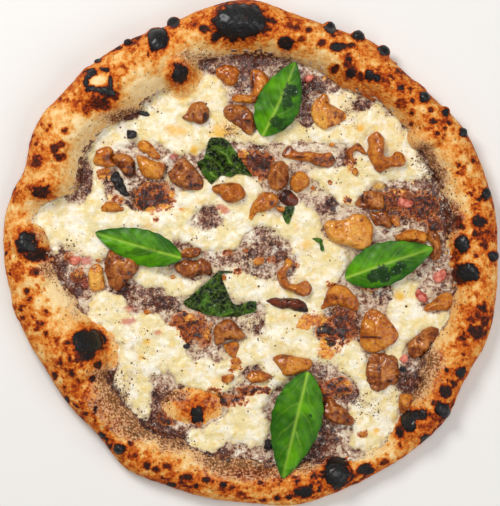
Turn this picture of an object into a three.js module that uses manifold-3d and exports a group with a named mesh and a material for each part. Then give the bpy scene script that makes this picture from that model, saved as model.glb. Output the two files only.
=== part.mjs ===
// A round wood-fired pizza, whole and uncut, with truffle cream, melted mozzarella,
// porcini, ham and basil. Millimetres, +Z up. The origin is the middle of the flat
// underside, +X is to the right of the pizza as it is served and +Y is away from the eater.
import * as THREE from "three";
import { mergeVertices } from "three/addons/utils/BufferGeometryUtils.js";
import Module from "manifold-3d";

const wasm = await Module();
wasm.setup();

// Driving dimensions.
const BASE_THICKNESS = 3.6; // the dough under the toppings
const CREAM_THICKNESS = 0.9; // truffle cream, part of the dough's top up to the rim's foot
const CHEESE_THICKNESS = 2.6; // mozzarella at the middle of a pool
const PORCINI_HEIGHT = 9.5; // a piece of 20 mm length, from its sunk underside to its top
const LEAF_THICKNESS = 0.7;
const LEAF_CLEARANCE = 0.8; // under a fresh leaf where it lies closest
const LEAF_CAMBER = 3.2; // rise of a fresh leaf's middle above its ends
const SIDE_DROOP = 1.6; // fall of its edges below its midrib
const SCRAP_HALF_HEIGHT = 2.4; // of ham and burnt herb
const GAP = 0.3; // between two pieces that touch
const TOP = BASE_THICKNESS + CREAM_THICKNESS;

// The rim, one row for each 10 degrees from +X towards +Y: how far the crust reaches,
// where its inner wall meets the toppings, and how high its crest stands.
const RIM = [
  [158.7, 125, 20], [159.3, 128, 20], [158.5, 128, 21],
  [158.5, 125, 22], [154.0, 128, 23], [152.3, 126, 24],
  [156.0, 121, 25], [153.5, 125, 24], [156.0, 126, 23],
  [162.2, 127, 24], [159.5, 128, 24], [155.0, 122, 24],
  [156.8, 117, 26], [157.4, 117, 27], [157.8, 121, 26],
  [159.2, 122, 25], [154.0, 118, 23], [158.6, 138, 14],
  [158.0, 127, 18], [155.5, 119, 20], [153.3, 112, 21],
  [150.6, 114, 23], [151.5, 119, 21], [151.9, 125, 17],
  [159.4, 128, 16], [158.4, 127, 17], [159.3, 130, 16],
  [160.5, 133, 15], [164.2, 137, 14], [163.2, 140, 14],
  [163.0, 148, 13], [164.2, 144, 14], [164.6, 138, 16],
  [159.6, 128, 19], [161.9, 131, 18], [160.2, 132, 18],
];

// Bubbles blown in the rim and base: middle, half widths along X and Y, rise above the crust.
const BUBBLES = [
  [-7, 147, 18, 12, 5], // the large black one at the back
  [-60, 136, 7, 8.5, 3.5],
  [-44, 112, 12.5, 12, 7], // round, leaning into the toppings
  [-97, 107, 15, 12, 3.5], // burst open
  [-142, 8, 14, 12, 5],
  [-105, -61, 20, 18, 5],
  [-137, -16, 10, 8, 2],
  [-37, -98, 18, 11, 4.5], // in the base, among the toppings
  [55, -141, 9.5, 9.5, 4],
  [106, -111, 13, 10.5, 4],
  [123, -101, 5, 5, 3],
  [139, -13, 8.5, 8, 4],
  [135, 6, 6.5, 7, 3.5],
  [112, 73, 11, 6.5, 5],
  [77, 111, 6.5, 6, 2.5],
  [-132, 41, 9, 7, 2.5],
];

// Black beads blown out of the rim's edge: middle and radius.
const EDGE_BEADS = [
  [51, 145, 3.6], [69, 138.5, 4], [86, 129.5, 4], [-49, 147.5, 4],
  [150, 38, 3.6], [155.6, -2, 3.4], [111, 99, 3.4], [-84, -125, 3.8],
];

// Pools of melted mozzarella, which run into each other: middle and half widths.
const POOLS = [
  [-131, 23, 14, 8], [-115, 14, 16, 13], [-97, 22, 16, 8], [-76, 20, 18, 8], [-99, 4, 12, 9],
  [-57, 20, 14, 9], [-100, 42, 8, 14], [-89, 73, 11, 6], [-71, 78, 13, 7], [-57, 88, 12, 9],
  [-44, 96, 13, 8], [-26, 104, 12, 11], [-48, 78, 15, 8], [-24, 84, 15, 8], [-40, 68, 12, 7],
  [-10, 77, 12, 6], [6, 71, 11, 5], [25, 77, 14, 7], [56, 98, 10, 7], [66, 88, 10, 8],
  [60, 77, 16, 9], [82, 84, 11, 7], [93, 74, 9, 9], [101, 64, 9, 8], [86, 68, 9, 9],
  [82, 52, 15, 8], [104, 51, 13, 8], [70, 62, 9, 6], [61, 42, 12, 12], [44, 52, 9, 6],
  [-10, 49, 15, 6], [-2, 40, 12, 8], [-34, 37, 15, 8], [-42, 26, 12, 8], [-14, 26, 13, 8],
  [0, 24, 10, 7], [-22, 9, 20, 8], [-48, 16, 10, 6], [21, 15, 9, 8], [35, 24, 10, 10],
  [37, 5, 11, 9], [43, -9, 12, 12], [44, -26, 8, 12], [54, -5, 7, 12], [-8, -19, 15, 8],
  [8, -24, 15, 7], [-48, -22, 18, 7], [-68, -12, 9, 9], [-92, -31, 12, 8], [-84, -47, 14, 11],
  [-66, -50, 15, 11], [-74, -66, 14, 10], [-56, -66, 12, 10], [-76, -87, 10, 8],
  [-68, -99, 6, 9], [-46, -54, 9, 6], [-33, -77, 17, 9], [-14, -76, 9, 8], [-24, -87, 11, 5],
  [2, -63, 11, 8], [20, -59, 14, 7], [20, -43, 13, 9], [33, -60, 9, 6], [19, -78, 11, 5],
  [4, -91, 7, 7], [-4, -102, 10, 9], [4, -114, 9, 13], [-14, -114, 14, 7], [-29, -119, 12, 6],
  [62, -66, 13, 11], [75, -82, 8, 8], [88, -92, 11, 6], [74, -102, 15, 9], [82, -112, 13, 9],
  [74, -123, 13, 6], [88, 11, 10, 6], [99, -20, 9, 9], [97, -35, 10, 9], [104, -46, 12, 9],
  [118, -44, 12, 6], [93, -57, 7, 8], [74, -38, 7, 5],
];

// Thin strands of it that join the pools: middle and half widths.
const STRANDS = [
  [-97, 58, 8, 9], [42, 77, 10, 6], [11, 21, 9, 5], [92, -74, 6, 14], [35, -41, 10, 9],
  [46, -64, 10, 5], [12, -85, 8, 8], [27, -22, 8, 7], [-64, 3, 7, 9],
];

// Patches where truffle cream shows between the pools: middle and half widths.
const CREAM_PATCHES = [
  [-28, 22, 9, 8], [-3, 112, 7, 9], [38, 98, 6, 14], [75, 94, 8, 4], [110, 30, 22, 11],
  [5, 57, 11, 9], [10, 3, 11, 9], [50, 32, 8, 5], [58, -44, 9, 7], [-113, -14, 8, 9],
  [-66, 37, 12, 9], [-62, -31, 14, 4], [-35, -49, 10, 8], [-58, -90, 6, 5], [48, -114, 9, 12],
  [52, -86, 8, 7], [62, 60, 6, 6], [82, -27, 9, 5], [112, -9, 9, 6], [-106, 40, 3, 12],
];

// Porcini by colour: middle, length, width, turn in degrees, taper towards the far end,
// and bend in degrees along the length.
const PORCINI = {
  pale: [
    [49, 91, 22, 19, 60, 0.15, 0], [63, 14, 31, 23, -8, -0.1, 0],
    [-98.5, -15.5, 19, 11, 85, 0.25, 0],
  ],
  golden: [
    [-65, 66, 18, 8, -42, 0.1, 0], [-93, 61, 15, 12, 20, 0, 0], [-64, 55, 20, 14, -12, 0.2, 20],
    [-89, 30, 16, 7, 0, 0.1, 0], [-16, 114, 16, 13, -35, 0, 0], [6, 107, 25, 11, 105, 0.2, 25],
    [37, 63, 33, 10, -8, 0, -15], [81, 62, 38, 10, -58, -0.1, 165],
    [67, 68, 19, 5.5, 15, 0, -150], [31, 46, 15, 12, 80, 0.2, 0],
    [9, 30, 24, 14, 52, -0.2, 0], [-12.5, 38.5, 20, 12, -15, 0.1, -20],
    [104, 11, 20, 10, 10, 0, 0], [-11, -62.5, 14, 8.5, -55, 0.2, 0],
    [23, -18.5, 37, 8, -55, 0, 150], [57, -29, 26, 14, -18, 0, -35],
    [83, -50, 29, 25, 100, 0.25, 0], [121, -31, 19, 10, 25, 0.1, 0],
    [101, -97, 14, 10.5, 75, 0, 0], [27, -72, 28, 13, -8, 0.2, 0], [7, -79.5, 18, 8, -5, 0.2, 0],
  ],
  brown: [
    [-81.5, 57, 18, 12, -35, 0.1, 15], [-42, 50, 25, 20, -35, 0.1, 0],
    [-35, 90, 19, 15, -5, -0.3, 0], [-7, 86, 26, 13, -42, 0.1, 0], [18, 50, 19, 13.5, 95, 0, 0],
    [77, 34, 19, 12, 5, 0.1, 0], [84, 21.5, 13, 11, -10, 0, 0], [118, 5, 20, 10, 95, 0, 20],
    [-82, -11, 28, 20, -80, 0.3, 0], [-36.5, -9.5, 23, 12, 3, 0, -20],
    [-39, 0.5, 17, 6.5, 5, 0, 0], [-12.5, -49.5, 21, 15, -15, 0, -25],
    [85, -76.5, 25, 20, 70, 0, 0], [113, -57, 28, 12, 38, 0, -15], [57, -102, 23, 13, -35, 0.2, 0],
  ],
  dark: [[25, 36, 13, 9, -40, 0, 0], [24, -33, 29, 7, -12, 0, -25]],
};

// Fresh basil: foot of the midrib, tip, full width, and how far foot and tip stand up.
const BASIL = [
  { foot: [8, 75], tip: [29, 122], width: 28, lift: [0.8, 4] },
  { foot: [-44, -3], tip: [-99, 13], width: 23, lift: [4, 0.8] },
  { foot: [61, -16], tip: [117, 3], width: 28, lift: [1, 4] },
  { foot: [37, -76], tip: [21, -144], width: 33, lift: [3.5, 0.8] },
];

// Basil wilted in the oven: the corners of the folded leaf.
const WILTED_BASIL = [
  [[-35, 57], [-25, 43], [2, 48], [-24, 74]],
  [[-43, -32], [-10, -42], [5, -32], [-19, -11]],
  [[20, 30], [24, 18], [29, 20], [28, 31]],
];

// Scraps of ham and burnt herb: middle, length, width and turn in degrees.
const HAM = [
  [38, 112, 8, 5, 25], [100, 32, 12, 7, -10], [122, -15, 11, 8, 50],
  [110, -28, 12, 7, -35], [-112, -5, 9, 7, 20], [99, -68, 8, 6, 50],
];
const BURNT = [[-76, 76, 8, 7, 0], [-84, 44, 20, 8, -60], [12, -123, 9, 7, 80]];

const TRUFFLE_CRUMBS = 14; // the largest, fused to what they lie on
const RIM_SEGMENTS = 66;
const CHEESE_CELL = 7.9; // spacing of the points on the cheese
const COVER_HEIGHT = 30; // what is kept free over a fresh leaf
const CHEESE_SPAN = 290; // width of the slab it is cut from
const POOL_EDGE = 0.27; // cover at which a pool begins
const EDGE_STEEPNESS = 5; // rise of its thickness with cover
const BUBBLE_SINK = 3; // depth of a bubble's middle under the crust

// Smooth closed curve through a column of the rim table, read at an azimuth in radians.
function rimAt(azimuth, column) {
  const step = (2 * Math.PI) / RIM.length;
  const turns = THREE.MathUtils.euclideanModulo(azimuth / step, RIM.length);
  const row = Math.floor(turns) % RIM.length;
  const value = (k) => RIM[THREE.MathUtils.euclideanModulo(row + k, RIM.length)][column];
  const t = turns - Math.floor(turns);
  const [a, b, c, d] = [value(-1), value(0), value(1), value(2)];
  return b + 0.5 * t * (c - a + t * (2 * a - 5 * b + 4 * c - d + t * (3 * (b - c) + d - a)));
}

// The rim's section at an azimuth: reach, foot, crest height, crest radius, widest height.
function rimSection(azimuth) {
  const [reach, foot, crest] = [0, 1, 2].map((column) => rimAt(azimuth, column));
  return { reach, foot, crest, ridge: foot + 0.55 * (reach - foot), belly: 0.42 * crest };
}

// Height of the inner wall at a share of the way from the foot to the ridge.
function wallHeight(section, share) {
  return TOP + (section.crest - TOP) * (1 - (1 - share) ** 2) ** 0.75;
}

// Top of the dough at a place, without its bubbles.
function doughTop(x, y) {
  const radius = Math.hypot(x, y);
  const section = rimSection(Math.atan2(y, x));
  if (radius <= section.foot) return TOP;
  if (radius <= section.ridge) {
    return wallHeight(section, (radius - section.foot) / (section.ridge - section.foot));
  }
  const out = Math.min(1, (radius - section.ridge) / (section.reach - section.ridge));
  return section.belly + (section.crest - section.belly) * Math.sqrt(1 - out * out);
}

// How far a place lies inside an oval: 1 at its middle, falling away smoothly.
function inOval(x, y, [middleX, middleY, halfX, halfY]) {
  return Math.exp(-1.3 * (((x - middleX) / halfX) ** 2 + ((y - middleY) / halfY) ** 2));
}

// Thickness of the cheese at a place, below zero where there is none.
function cheeseDepth(x, y) {
  const sum = (ovals) => ovals.reduce((total, oval) => total + inOval(x, y, oval), 0);
  const cover = Math.min(sum([...POOLS, ...STRANDS]), 1.4) - 0.8 * sum(CREAM_PATCHES);
  return CHEESE_THICKNESS * THREE.MathUtils.clamp(EDGE_STEEPNESS * (cover - POOL_EDGE), -1, 1);
}

// What carries a topping at a place.
function ground(x, y) {
  return doughTop(x, y) + Math.max(0, cheeseDepth(x, y));
}

// A repeatable draw of numbers from 0 to 1.
function dice(seed) {
  let state = seed;
  return () => {
    state = (state * 1664525 + 1013904223) % 4294967296;
    return state / 4294967296;
  };
}

// A three.js geometry as a solid, and a solid as a geometry with flat faces.
function solidOf(geometry) {
  const bare = geometry.clone();
  bare.deleteAttribute("normal");
  bare.deleteAttribute("uv");
  const merged = mergeVertices(bare, 1e-3);
  return new wasm.Manifold(
    new wasm.Mesh({
      numProp: 3,
      vertProperties: merged.attributes.position.array,
      triVerts: new Uint32Array(merged.index.array),
    }),
  );
}

function geometryOf(solid) {
  const mesh = solid.getMesh();
  const geometry = new THREE.BufferGeometry();
  geometry.setAttribute("position", new THREE.BufferAttribute(mesh.vertProperties, 3));
  geometry.setIndex(new THREE.BufferAttribute(mesh.triVerts, 1));
  const flat = geometry.toNonIndexed();
  flat.computeVertexNormals();
  return flat;
}

// Moves every point of a geometry by a function of its place.
function reshape(geometry, move) {
  const places = geometry.attributes.position;
  const point = new THREE.Vector3();
  for (let i = 0; i < places.count; i++) {
    point.fromBufferAttribute(places, i);
    places.setXYZ(i, ...move(point.x, point.y, point.z));
  }
  return geometry;
}

// A solid with the gap that touching pieces keep above it.
function withGapAbove(solid) {
  return solid.add(solid.translate([0, 0, GAP]));
}

function largest(bodies) {
  return bodies.reduce((best, body) => (body.volume() > best.volume() ? body : best));
}

// An ellipsoid, flattened where it would reach down to the underside of the dough.
function ellipsoid(x, y, z, halfX, halfY, halfZ, detail) {
  const shape = new THREE.IcosahedronGeometry(1, detail);
  shape.scale(halfX, halfY, halfZ).translate(x, y, z);
  return solidOf(reshape(shape, (px, py, pz) => [px, py, Math.max(pz, 0.3 * BASE_THICKNESS)]));
}

// The dough: a lathe of stations round the section, each moved to the rim's own shape.
function makeDough() {
  const wall = (share) => (section) => {
    const radius = section.foot + share * (section.ridge - section.foot);
    return [radius, wallHeight(section, share)];
  };
  const outside = (angle) => (section) => {
    const top = section.crest - section.belly;
    const radius = section.ridge + (section.reach - section.ridge) * Math.cos(angle);
    return [radius, section.belly + top * Math.sin(angle)];
  };
  const below = (angle) => (section) => {
    const undercut = 0.3 * section.crest;
    return [
      section.reach - undercut * (1 - Math.cos(angle)),
      section.belly * (1 - Math.sin(angle)),
    ];
  };
  const degrees = THREE.MathUtils.degToRad;
  const stations = [
    () => [0, 0],
    ...[90, 55, 25].map((angle) => below(degrees(angle))),
    ...[0, 22, 45, 68, 90].map((angle) => outside(degrees(angle))),
    ...[0.72, 0.45, 0.25, 0.1, 0].map(wall),
    () => [0, TOP],
  ];
  const last = stations.length - 1;
  const outline = stations.map((_, i) => new THREE.Vector2(i === 0 || i === last ? 0 : 1, i));
  const lathe = new THREE.LatheGeometry(outline, RIM_SEGMENTS);
  reshape(lathe, (x, height, z) => {
    const azimuth = Math.atan2(-z, x);
    const [radius, top] = stations[Math.round(height)](rimSection(azimuth));
    return [radius * Math.cos(azimuth), radius * Math.sin(azimuth), top];
  });
  let dough = solidOf(lathe);
  for (const [x, y, halfX, halfY, rise] of BUBBLES) {
    const middle = doughTop(x, y) - BUBBLE_SINK;
    dough = dough.add(ellipsoid(x, y, middle, halfX, halfY, rise + BUBBLE_SINK, 1));
  }
  for (const [x, y, radius] of EDGE_BEADS) {
    dough = dough.add(ellipsoid(x, y, doughTop(x, y), radius, radius, radius, 0));
  }
  return dough;
}

// The cheese: a fine slab whose top dips into the dough wherever there is no pool. What the
// slab leaves outside the rim is lower than the toppings and is dropped.
function makeCheese(dough) {
  const bottom = 0.3 * BASE_THICKNESS;
  const cells = Math.round(CHEESE_SPAN / CHEESE_CELL);
  const slab = new THREE.BoxGeometry(CHEESE_SPAN, CHEESE_SPAN, 2, cells, cells, 1);
  reshape(slab, (x, y, z) => {
    const { ridge } = rimSection(Math.atan2(y, x));
    if (z < 0) return [x, y, bottom];
    if (Math.hypot(x, y) > ridge) return [x, y, 2 * bottom];
    return [x, y, doughTop(x, y) + cheeseDepth(x, y)];
  });
  const bodies = solidOf(slab).subtract(withGapAbove(dough)).decompose();
  return largest(bodies.filter((body) => body.boundingBox().max[2] > TOP + GAP));
}

// One porcini piece before it is fitted: a blunt ball, tapered, dented, bent and turned.
function porciniBlank([x, y, length, width, turn, taper, bend], seed, grow) {
  const draw = dice(seed);
  const phases = [0, 1, 2].map(() => draw() * 2 * Math.PI);
  const tall = PORCINI_HEIGHT * THREE.MathUtils.clamp(Math.sqrt((length * width) / 280), 0.55, 1.3);
  const arc = THREE.MathUtils.degToRad(bend);
  const angle = THREE.MathUtils.degToRad(turn);
  const detail = length > 33 ? 2 : 1;
  const blunt = (v) => Math.sign(v) * Math.abs(v) ** 0.82;
  const shape = reshape(new THREE.IcosahedronGeometry(1, detail), (px, py, pz) => {
    const dent = 1 + 0.1 * Math.sin(3 * px + phases[0]) * Math.cos(2.6 * py + phases[1]);
    const across = blunt(py) * dent * (1 - taper * px);
    const lie = 0.12 * Math.sin(2.2 * px + 1.7 * py + phases[2]);
    const along = (blunt(px) * dent * length) / 2 + grow * px;
    const side = (across * width) / 2 + grow * py;
    const up = (blunt(pz) + lie) * (tall / 2) + grow * pz;
    if (arc === 0) return [along, side, up];
    const radius = length / arc;
    const swing = (along / length) * arc;
    return [(radius - side) * Math.sin(swing), radius - (radius - side) * Math.cos(swing), up];
  });
  shape.rotateZ(angle).translate(x, y, ground(x, y) + 0.16 * tall);
  return solidOf(shape);
}

// A scrap of ham or burnt herb before it is fitted.
function scrapBlank([x, y, length, width, turn], seed) {
  const draw = dice(seed);
  const phase = draw() * 2 * Math.PI;
  const shape = new THREE.SphereGeometry(1, 7, 4).rotateX(Math.PI / 2);
  reshape(shape, (px, py, pz) => {
    const dent = 1 + 0.22 * Math.sin(4 * px + 3 * py + phase);
    return [(px * dent * length) / 2, (py * dent * width) / 2, pz * SCRAP_HALF_HEIGHT];
  });
  shape.rotateZ(THREE.MathUtils.degToRad(turn)).translate(x, y, ground(x, y) + 0.9);
  return solidOf(shape);
}

// A thin sheet: a flat box whose points are sent to a place (u along, v across, both 0 to 1)
// and a height there; thickness is added to the upper face.
function sheet(columns, rows, thickness, place) {
  const box = new THREE.BoxGeometry(1, 1, 1, columns, rows, 1);
  return solidOf(
    reshape(box, (u, v, side) => {
      const [x, y, z] = place(u + 0.5, v + 0.5);
      return [x, y, side > 0 ? z + thickness : z];
    }),
  );
}

// Half the blade's width at a share of its length: round shoulders and a drawn-out tip.
function bladeHalf(u, width) {
  const stem = 1.2;
  return stem / 2 + (width / 2) * Math.sin(Math.PI * u ** 0.85) ** 0.8 * (1 - 0.12 * u);
}

// A fresh basil leaf, cupped along its midrib and waved at its edges.
function basilLeaf({ foot, tip, width, lift }, thickness, margin = 0) {
  const along = new THREE.Vector2(tip[0] - foot[0], tip[1] - foot[1]);
  const side = new THREE.Vector2(-along.y, along.x).normalize();
  return sheet(10, 4, thickness, (u, v) => {
    const out = (2 * v - 1) * (bladeHalf(u, width) + margin);
    const reach = u + ((2 * u - 1) * margin) / along.length();
    const x = foot[0] + along.x * reach + side.x * out;
    const y = foot[1] + along.y * reach + side.y * out;
    const camber = LEAF_CAMBER * Math.sin(Math.PI * u) - SIDE_DROOP * ((2 * out) / width) ** 2;
    const wave = 0.5 * Math.sin(9 * u + (2.5 * out) / width);
    const plane = TOP + CHEESE_THICKNESS + THREE.MathUtils.lerp(lift[0], lift[1], u);
    return [x, y, Math.max(plane + camber + wave, ground(x, y) + LEAF_CLEARANCE)];
  });
}

// A wilted leaf: a crumpled sheet between its corners, close to what it lies on.
function wiltedLeaf(corners, index) {
  const [a, b, c, d] = corners.map(([x, y]) => new THREE.Vector2(x, y));
  const small = a.distanceTo(c) < 20;
  return sheet(small ? 3 : 6, small ? 2 : 4, LEAF_THICKNESS, (u, v) => {
    const near = a.clone().lerp(d, v);
    const place = near.lerp(b.clone().lerp(c, v), u);
    const frill = 1.1 * Math.sin(17 * (u + v) + index) * (small ? 0.3 : 1);
    const crumple = 1.6 + 1.3 * Math.sin(8 * u + 5 * v + index) * Math.cos(9 * v - 3 * u);
    return [
      place.x + frill,
      place.y - frill,
      ground(place.x, place.y) + 1 + crumple * (small ? 0.5 : 1),
    ];
  });
}

// Truffle crumbs: icosahedra by a seeded rule over the cream patches.
function truffleCrumbs(count) {
  const draw = dice(11);
  return Array.from({ length: count }, (_, i) => {
    const [middleX, middleY, halfX, halfY] = CREAM_PATCHES[i % CREAM_PATCHES.length];
    const x = middleX + (2 * draw() - 1) * halfX * 0.7;
    const y = middleY + (2 * draw() - 1) * halfY * 0.7;
    return { x, y, half: 1.3 + 0.7 * draw() };
  });
}

const finishes = {
  crust: new THREE.MeshStandardMaterial({ color: 0xc98a4e, roughness: 0.75 }),
  cheese: new THREE.MeshStandardMaterial({ color: 0xefe4c2, roughness: 0.4 }),
  pale: new THREE.MeshStandardMaterial({ color: 0xc9924f, roughness: 0.4 }),
  golden: new THREE.MeshStandardMaterial({ color: 0xb26a24, roughness: 0.35 }),
  brown: new THREE.MeshStandardMaterial({ color: 0x8f5424, roughness: 0.35 }),
  dark: new THREE.MeshStandardMaterial({ color: 0x54271a, roughness: 0.4 }),
  basil: new THREE.MeshStandardMaterial({ color: 0x3f8a1e, roughness: 0.4 }),
  wilted: new THREE.MeshStandardMaterial({ color: 0x20391b, roughness: 0.5 }),
  ham: new THREE.MeshStandardMaterial({ color: 0xcf6a63, roughness: 0.45 }),
  burnt: new THREE.MeshStandardMaterial({ color: 0x1a1615, roughness: 0.6 }),
};

const pizza = new THREE.Group();

function addPiece(name, solid, finish) {
  const mesh = new THREE.Mesh(geometryOf(solid), finishes[finish]);
  mesh.name = name;
  pizza.add(mesh);
}

// The dough and the cheese on it.
let dough = makeDough();
const cheese = makeCheese(dough);
const bedAndGap = withGapAbove(dough.add(cheese));

// Toppings, each cut clear of what is already there. Leaves come first: what would cross
// a leaf ends just under it.
const number = (index) => String(index + 1).padStart(2, "0");
const taken = []; // the room of each fitted topping, with its gap

function fit(name, blank, finish, room = blank) {
  const piece = taken.reduce((rest, other) => rest.subtract(other), blank.subtract(bedAndGap));
  taken.push(room);
  addPiece(name, largest(piece.decompose()), finish);
}

BASIL.forEach((leaf, i) => {
  addPiece(`basil_${number(i)}`, basilLeaf(leaf, LEAF_THICKNESS), "basil");
  taken.push(basilLeaf(leaf, COVER_HEIGHT, 2 * GAP).translate([0, 0, -2 * GAP]));
});

BURNT.forEach((scrap, i) => fit(`burnt_herb_${number(i)}`, scrapBlank(scrap, i + 5), "burnt"));
HAM.forEach((scrap, i) => fit(`ham_${number(i)}`, scrapBlank(scrap, i + 50), "ham"));
for (const [tone, rows] of Object.entries(PORCINI)) {
  rows.forEach((row, i) => {
    const blank = (grow) => porciniBlank(row, 7 * i + tone.length, grow);
    fit(`porcini_${tone}_${number(i)}`, blank(0), tone, blank(GAP + 0.1));
  });
}
WILTED_BASIL.forEach((corners, i) => {
  fit(`wilted_basil_${number(i)}`, wiltedLeaf(corners, i), "wilted");
});

// Crumbs go where nothing else lies.
for (const { x, y, half } of truffleCrumbs(TRUFFLE_CRUMBS)) {
  const crumb = ellipsoid(x, y, ground(x, y), half, 0.8 * half, half, 0);
  const raised = crumb.translate([0, 0, GAP]);
  const clear = [cheese, ...taken].every((other) => other.intersect(raised).isEmpty());
  if (clear) dough = dough.add(crumb);
}
addPiece("dough", dough, "crust");
addPiece("cheese", cheese, "cheese");

export default pizza;
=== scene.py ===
"""Looks of a whole wood-fired pizza with truffle cream, mozzarella, porcini, ham and basil.

Places are read in millimetres from the middle of the pizza's flat underside, with +X to the
right of the pizza and +Y away from the eater. Every mesh is written in metres.
"""

import logging
import math
from dataclasses import dataclass, field
from enum import Enum
from functools import partial
from typing import Callable, Sequence

import bmesh
import bpy
import numpy as np
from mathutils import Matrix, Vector
from mathutils.bvhtree import BVHTree


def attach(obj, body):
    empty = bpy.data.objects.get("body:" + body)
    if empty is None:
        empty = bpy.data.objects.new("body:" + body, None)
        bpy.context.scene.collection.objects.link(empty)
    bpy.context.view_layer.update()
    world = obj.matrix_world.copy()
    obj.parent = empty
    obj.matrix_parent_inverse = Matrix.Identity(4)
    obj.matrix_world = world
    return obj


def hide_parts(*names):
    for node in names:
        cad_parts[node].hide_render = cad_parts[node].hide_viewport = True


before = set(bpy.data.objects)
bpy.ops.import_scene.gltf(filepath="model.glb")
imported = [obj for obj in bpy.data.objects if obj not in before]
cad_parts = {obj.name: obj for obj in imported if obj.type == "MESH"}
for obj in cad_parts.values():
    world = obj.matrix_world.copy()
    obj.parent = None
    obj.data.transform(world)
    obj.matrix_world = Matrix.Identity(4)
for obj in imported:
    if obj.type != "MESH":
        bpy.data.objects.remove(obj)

MM = 0.001
SKY = 60.0
DOWN = Vector((0.0, 0.0, -1.0))
BODY = "root"
Array = np.ndarray
Rows = Sequence[tuple]
Station = Callable[["Section"], tuple[Array, Array]]
log = logging.getLogger("pizza")


# ---------------------------------------------------------------- fields of numbers


def smoothstep(low: float, high: float, value: Array) -> Array:
    """Rises from 0 at low to 1 at high, with soft ends."""
    share = np.clip((value - low) / (high - low), 0.0, 1.0)
    return share * share * (3.0 - 2.0 * share)


def scatter(x: Array, y: Array, z: Array, seed: float) -> Array:
    """A repeatable number from 0 to 1 for each whole-numbered place."""
    mixed = np.sin(x * 127.1 + y * 311.7 + z * 74.7 + seed * 53.3) * 43758.5453
    return mixed - np.floor(mixed)


def grain(x: Array, y: Array, z: Array, seed: float) -> Array:
    """Smooth noise from 0 to 1 that changes over a distance of one.

    Args:
        x: places along X, in widths of a lump.
        y: places along Y.
        z: heights.
        seed: picks one pattern.

    Returns:
        One number for each place.
    """
    floors = [np.floor(axis) for axis in (x, y, z)]
    shares = [smoothstep(0.0, 1.0, axis - low) for axis, low in zip((x, y, z), floors)]
    total = np.zeros_like(x, dtype=float)
    for corner in np.ndindex(2, 2, 2):
        weight = np.ones_like(total)
        for share, side in zip(shares, corner):
            weight = weight * (share if side else 1.0 - share)
        place = [low + side for low, side in zip(floors, corner)]
        total += weight * scatter(*place, seed)
    return total


def cloud(x: Array, y: Array, size: float, seed: float, z: Array | float = 0.0,
          octaves: int = 3) -> Array:
    """Cloudy noise from about -1 to 1.

    Args:
        x: places along X, in millimetres.
        y: places along Y.
        size: width of the largest lumps, in millimetres.
        seed: picks one pattern.
        z: heights, where the pattern also changes with them.
        octaves: layers, each half as large as the one before.

    Returns:
        One number for each place.
    """
    depth = np.zeros_like(x, dtype=float) + z
    total = np.zeros_like(x, dtype=float)
    weight = 1.0
    for layer in range(octaves):
        scale = 2.0**layer / size
        total += weight * (2.0 * grain(x * scale, y * scale, depth * scale, seed + layer) - 1.0)
        weight *= 0.55
    return total


def spots(x: Array, y: Array, rows: Rows, seed: float, ragged: float = 0.25,
          edge: float = 0.3) -> Array:
    """The strongest of a list of ragged spots at each place.

    Args:
        x: places along X.
        y: places along Y.
        rows: middle x, middle y, half width, half height and strength of each spot.
        seed: picks the raggedness.
        ragged: how far the edges wander, as a share of the radius.
        edge: softness of the edge, as a share of the radius.

    Returns:
        Strengths from 0 up.
    """
    wander = ragged * (cloud(x, y, 4.0, seed) + 0.6 * cloud(x, y, 1.8, seed + 0.5, octaves=2))
    result = np.zeros_like(x, dtype=float)
    for middle_x, middle_y, half_x, half_y, strength in rows:
        across = (x - middle_x) / half_x
        along = (y - middle_y) / half_y
        near = (np.abs(across) < 2.0) & (np.abs(along) < 2.0)
        calm = min(1.2, math.sqrt(3.5 / (half_x + half_y)))
        distance = np.hypot(across[near], along[near]) + calm * wander[near]
        shown = strength * (1.0 - smoothstep(1.0 - edge, 1.0 + edge, distance))
        result[near] = np.maximum(result[near], shown)
    return result


def glow(x: Array, y: Array, rows: Rows) -> Array:
    """Sum of soft ovals.

    Args:
        x: places along X, in millimetres.
        y: places along Y.
        rows: middle x, middle y, half width, half height and strength of each.

    Returns:
        One number for each place.
    """
    total = np.zeros_like(x, dtype=float)
    for middle_x, middle_y, half_x, half_y, strength in rows:
        square = ((x - middle_x) / half_x) ** 2 + ((y - middle_y) / half_y) ** 2
        total += strength * np.exp(-1.3 * square)
    return total


def blur(grid: Array, reach: float) -> Array:
    """Softens a grid of numbers.

    Args:
        grid: the numbers, in a square.
        reach: how far each one spreads, in cells.

    Returns:
        The softened grid.
    """
    for _ in range(2):
        count = grid.shape[0]
        places = np.arange(count)
        kernel = np.exp(-0.5 * ((places[:, None] - places[None, :]) / reach) ** 2)
        kernel /= kernel.sum(axis=1, keepdims=True)
        grid = (kernel @ grid).T
    return grid


def through(a: Array, b: Array, c: Array, d: Array, share: Array) -> Array:
    """A smooth curve from b to c.

    Args:
        a: the place before b.
        b: where the curve starts.
        c: where it ends.
        d: the place after c.
        share: how far along, from 0 to 1.

    Returns:
        The places on the curve.
    """
    cubic = 3.0 * (b - c) + d - a
    square = 2.0 * a - 5.0 * b + 4.0 * c - d
    return b + 0.5 * share * (c - a + share * (square + share * cubic))


def closed_curve(rows: Rows, parts: int = 5) -> Array:
    """A smooth closed curve.

    Args:
        rows: the places that it goes through.
        parts: how many parts it has between two.

    Returns:
        The curve, a row for each place.
    """
    share = (np.arange(parts) / parts)[None, :, None]
    places = np.array(rows, dtype=float)[:, None, :]
    four = (np.roll(places, shift, axis=0) for shift in (1, 0, -1, -2))
    return through(*four, share).reshape(-1, 2)


# ---------------------------------------------------------------- what the photo shows

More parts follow.
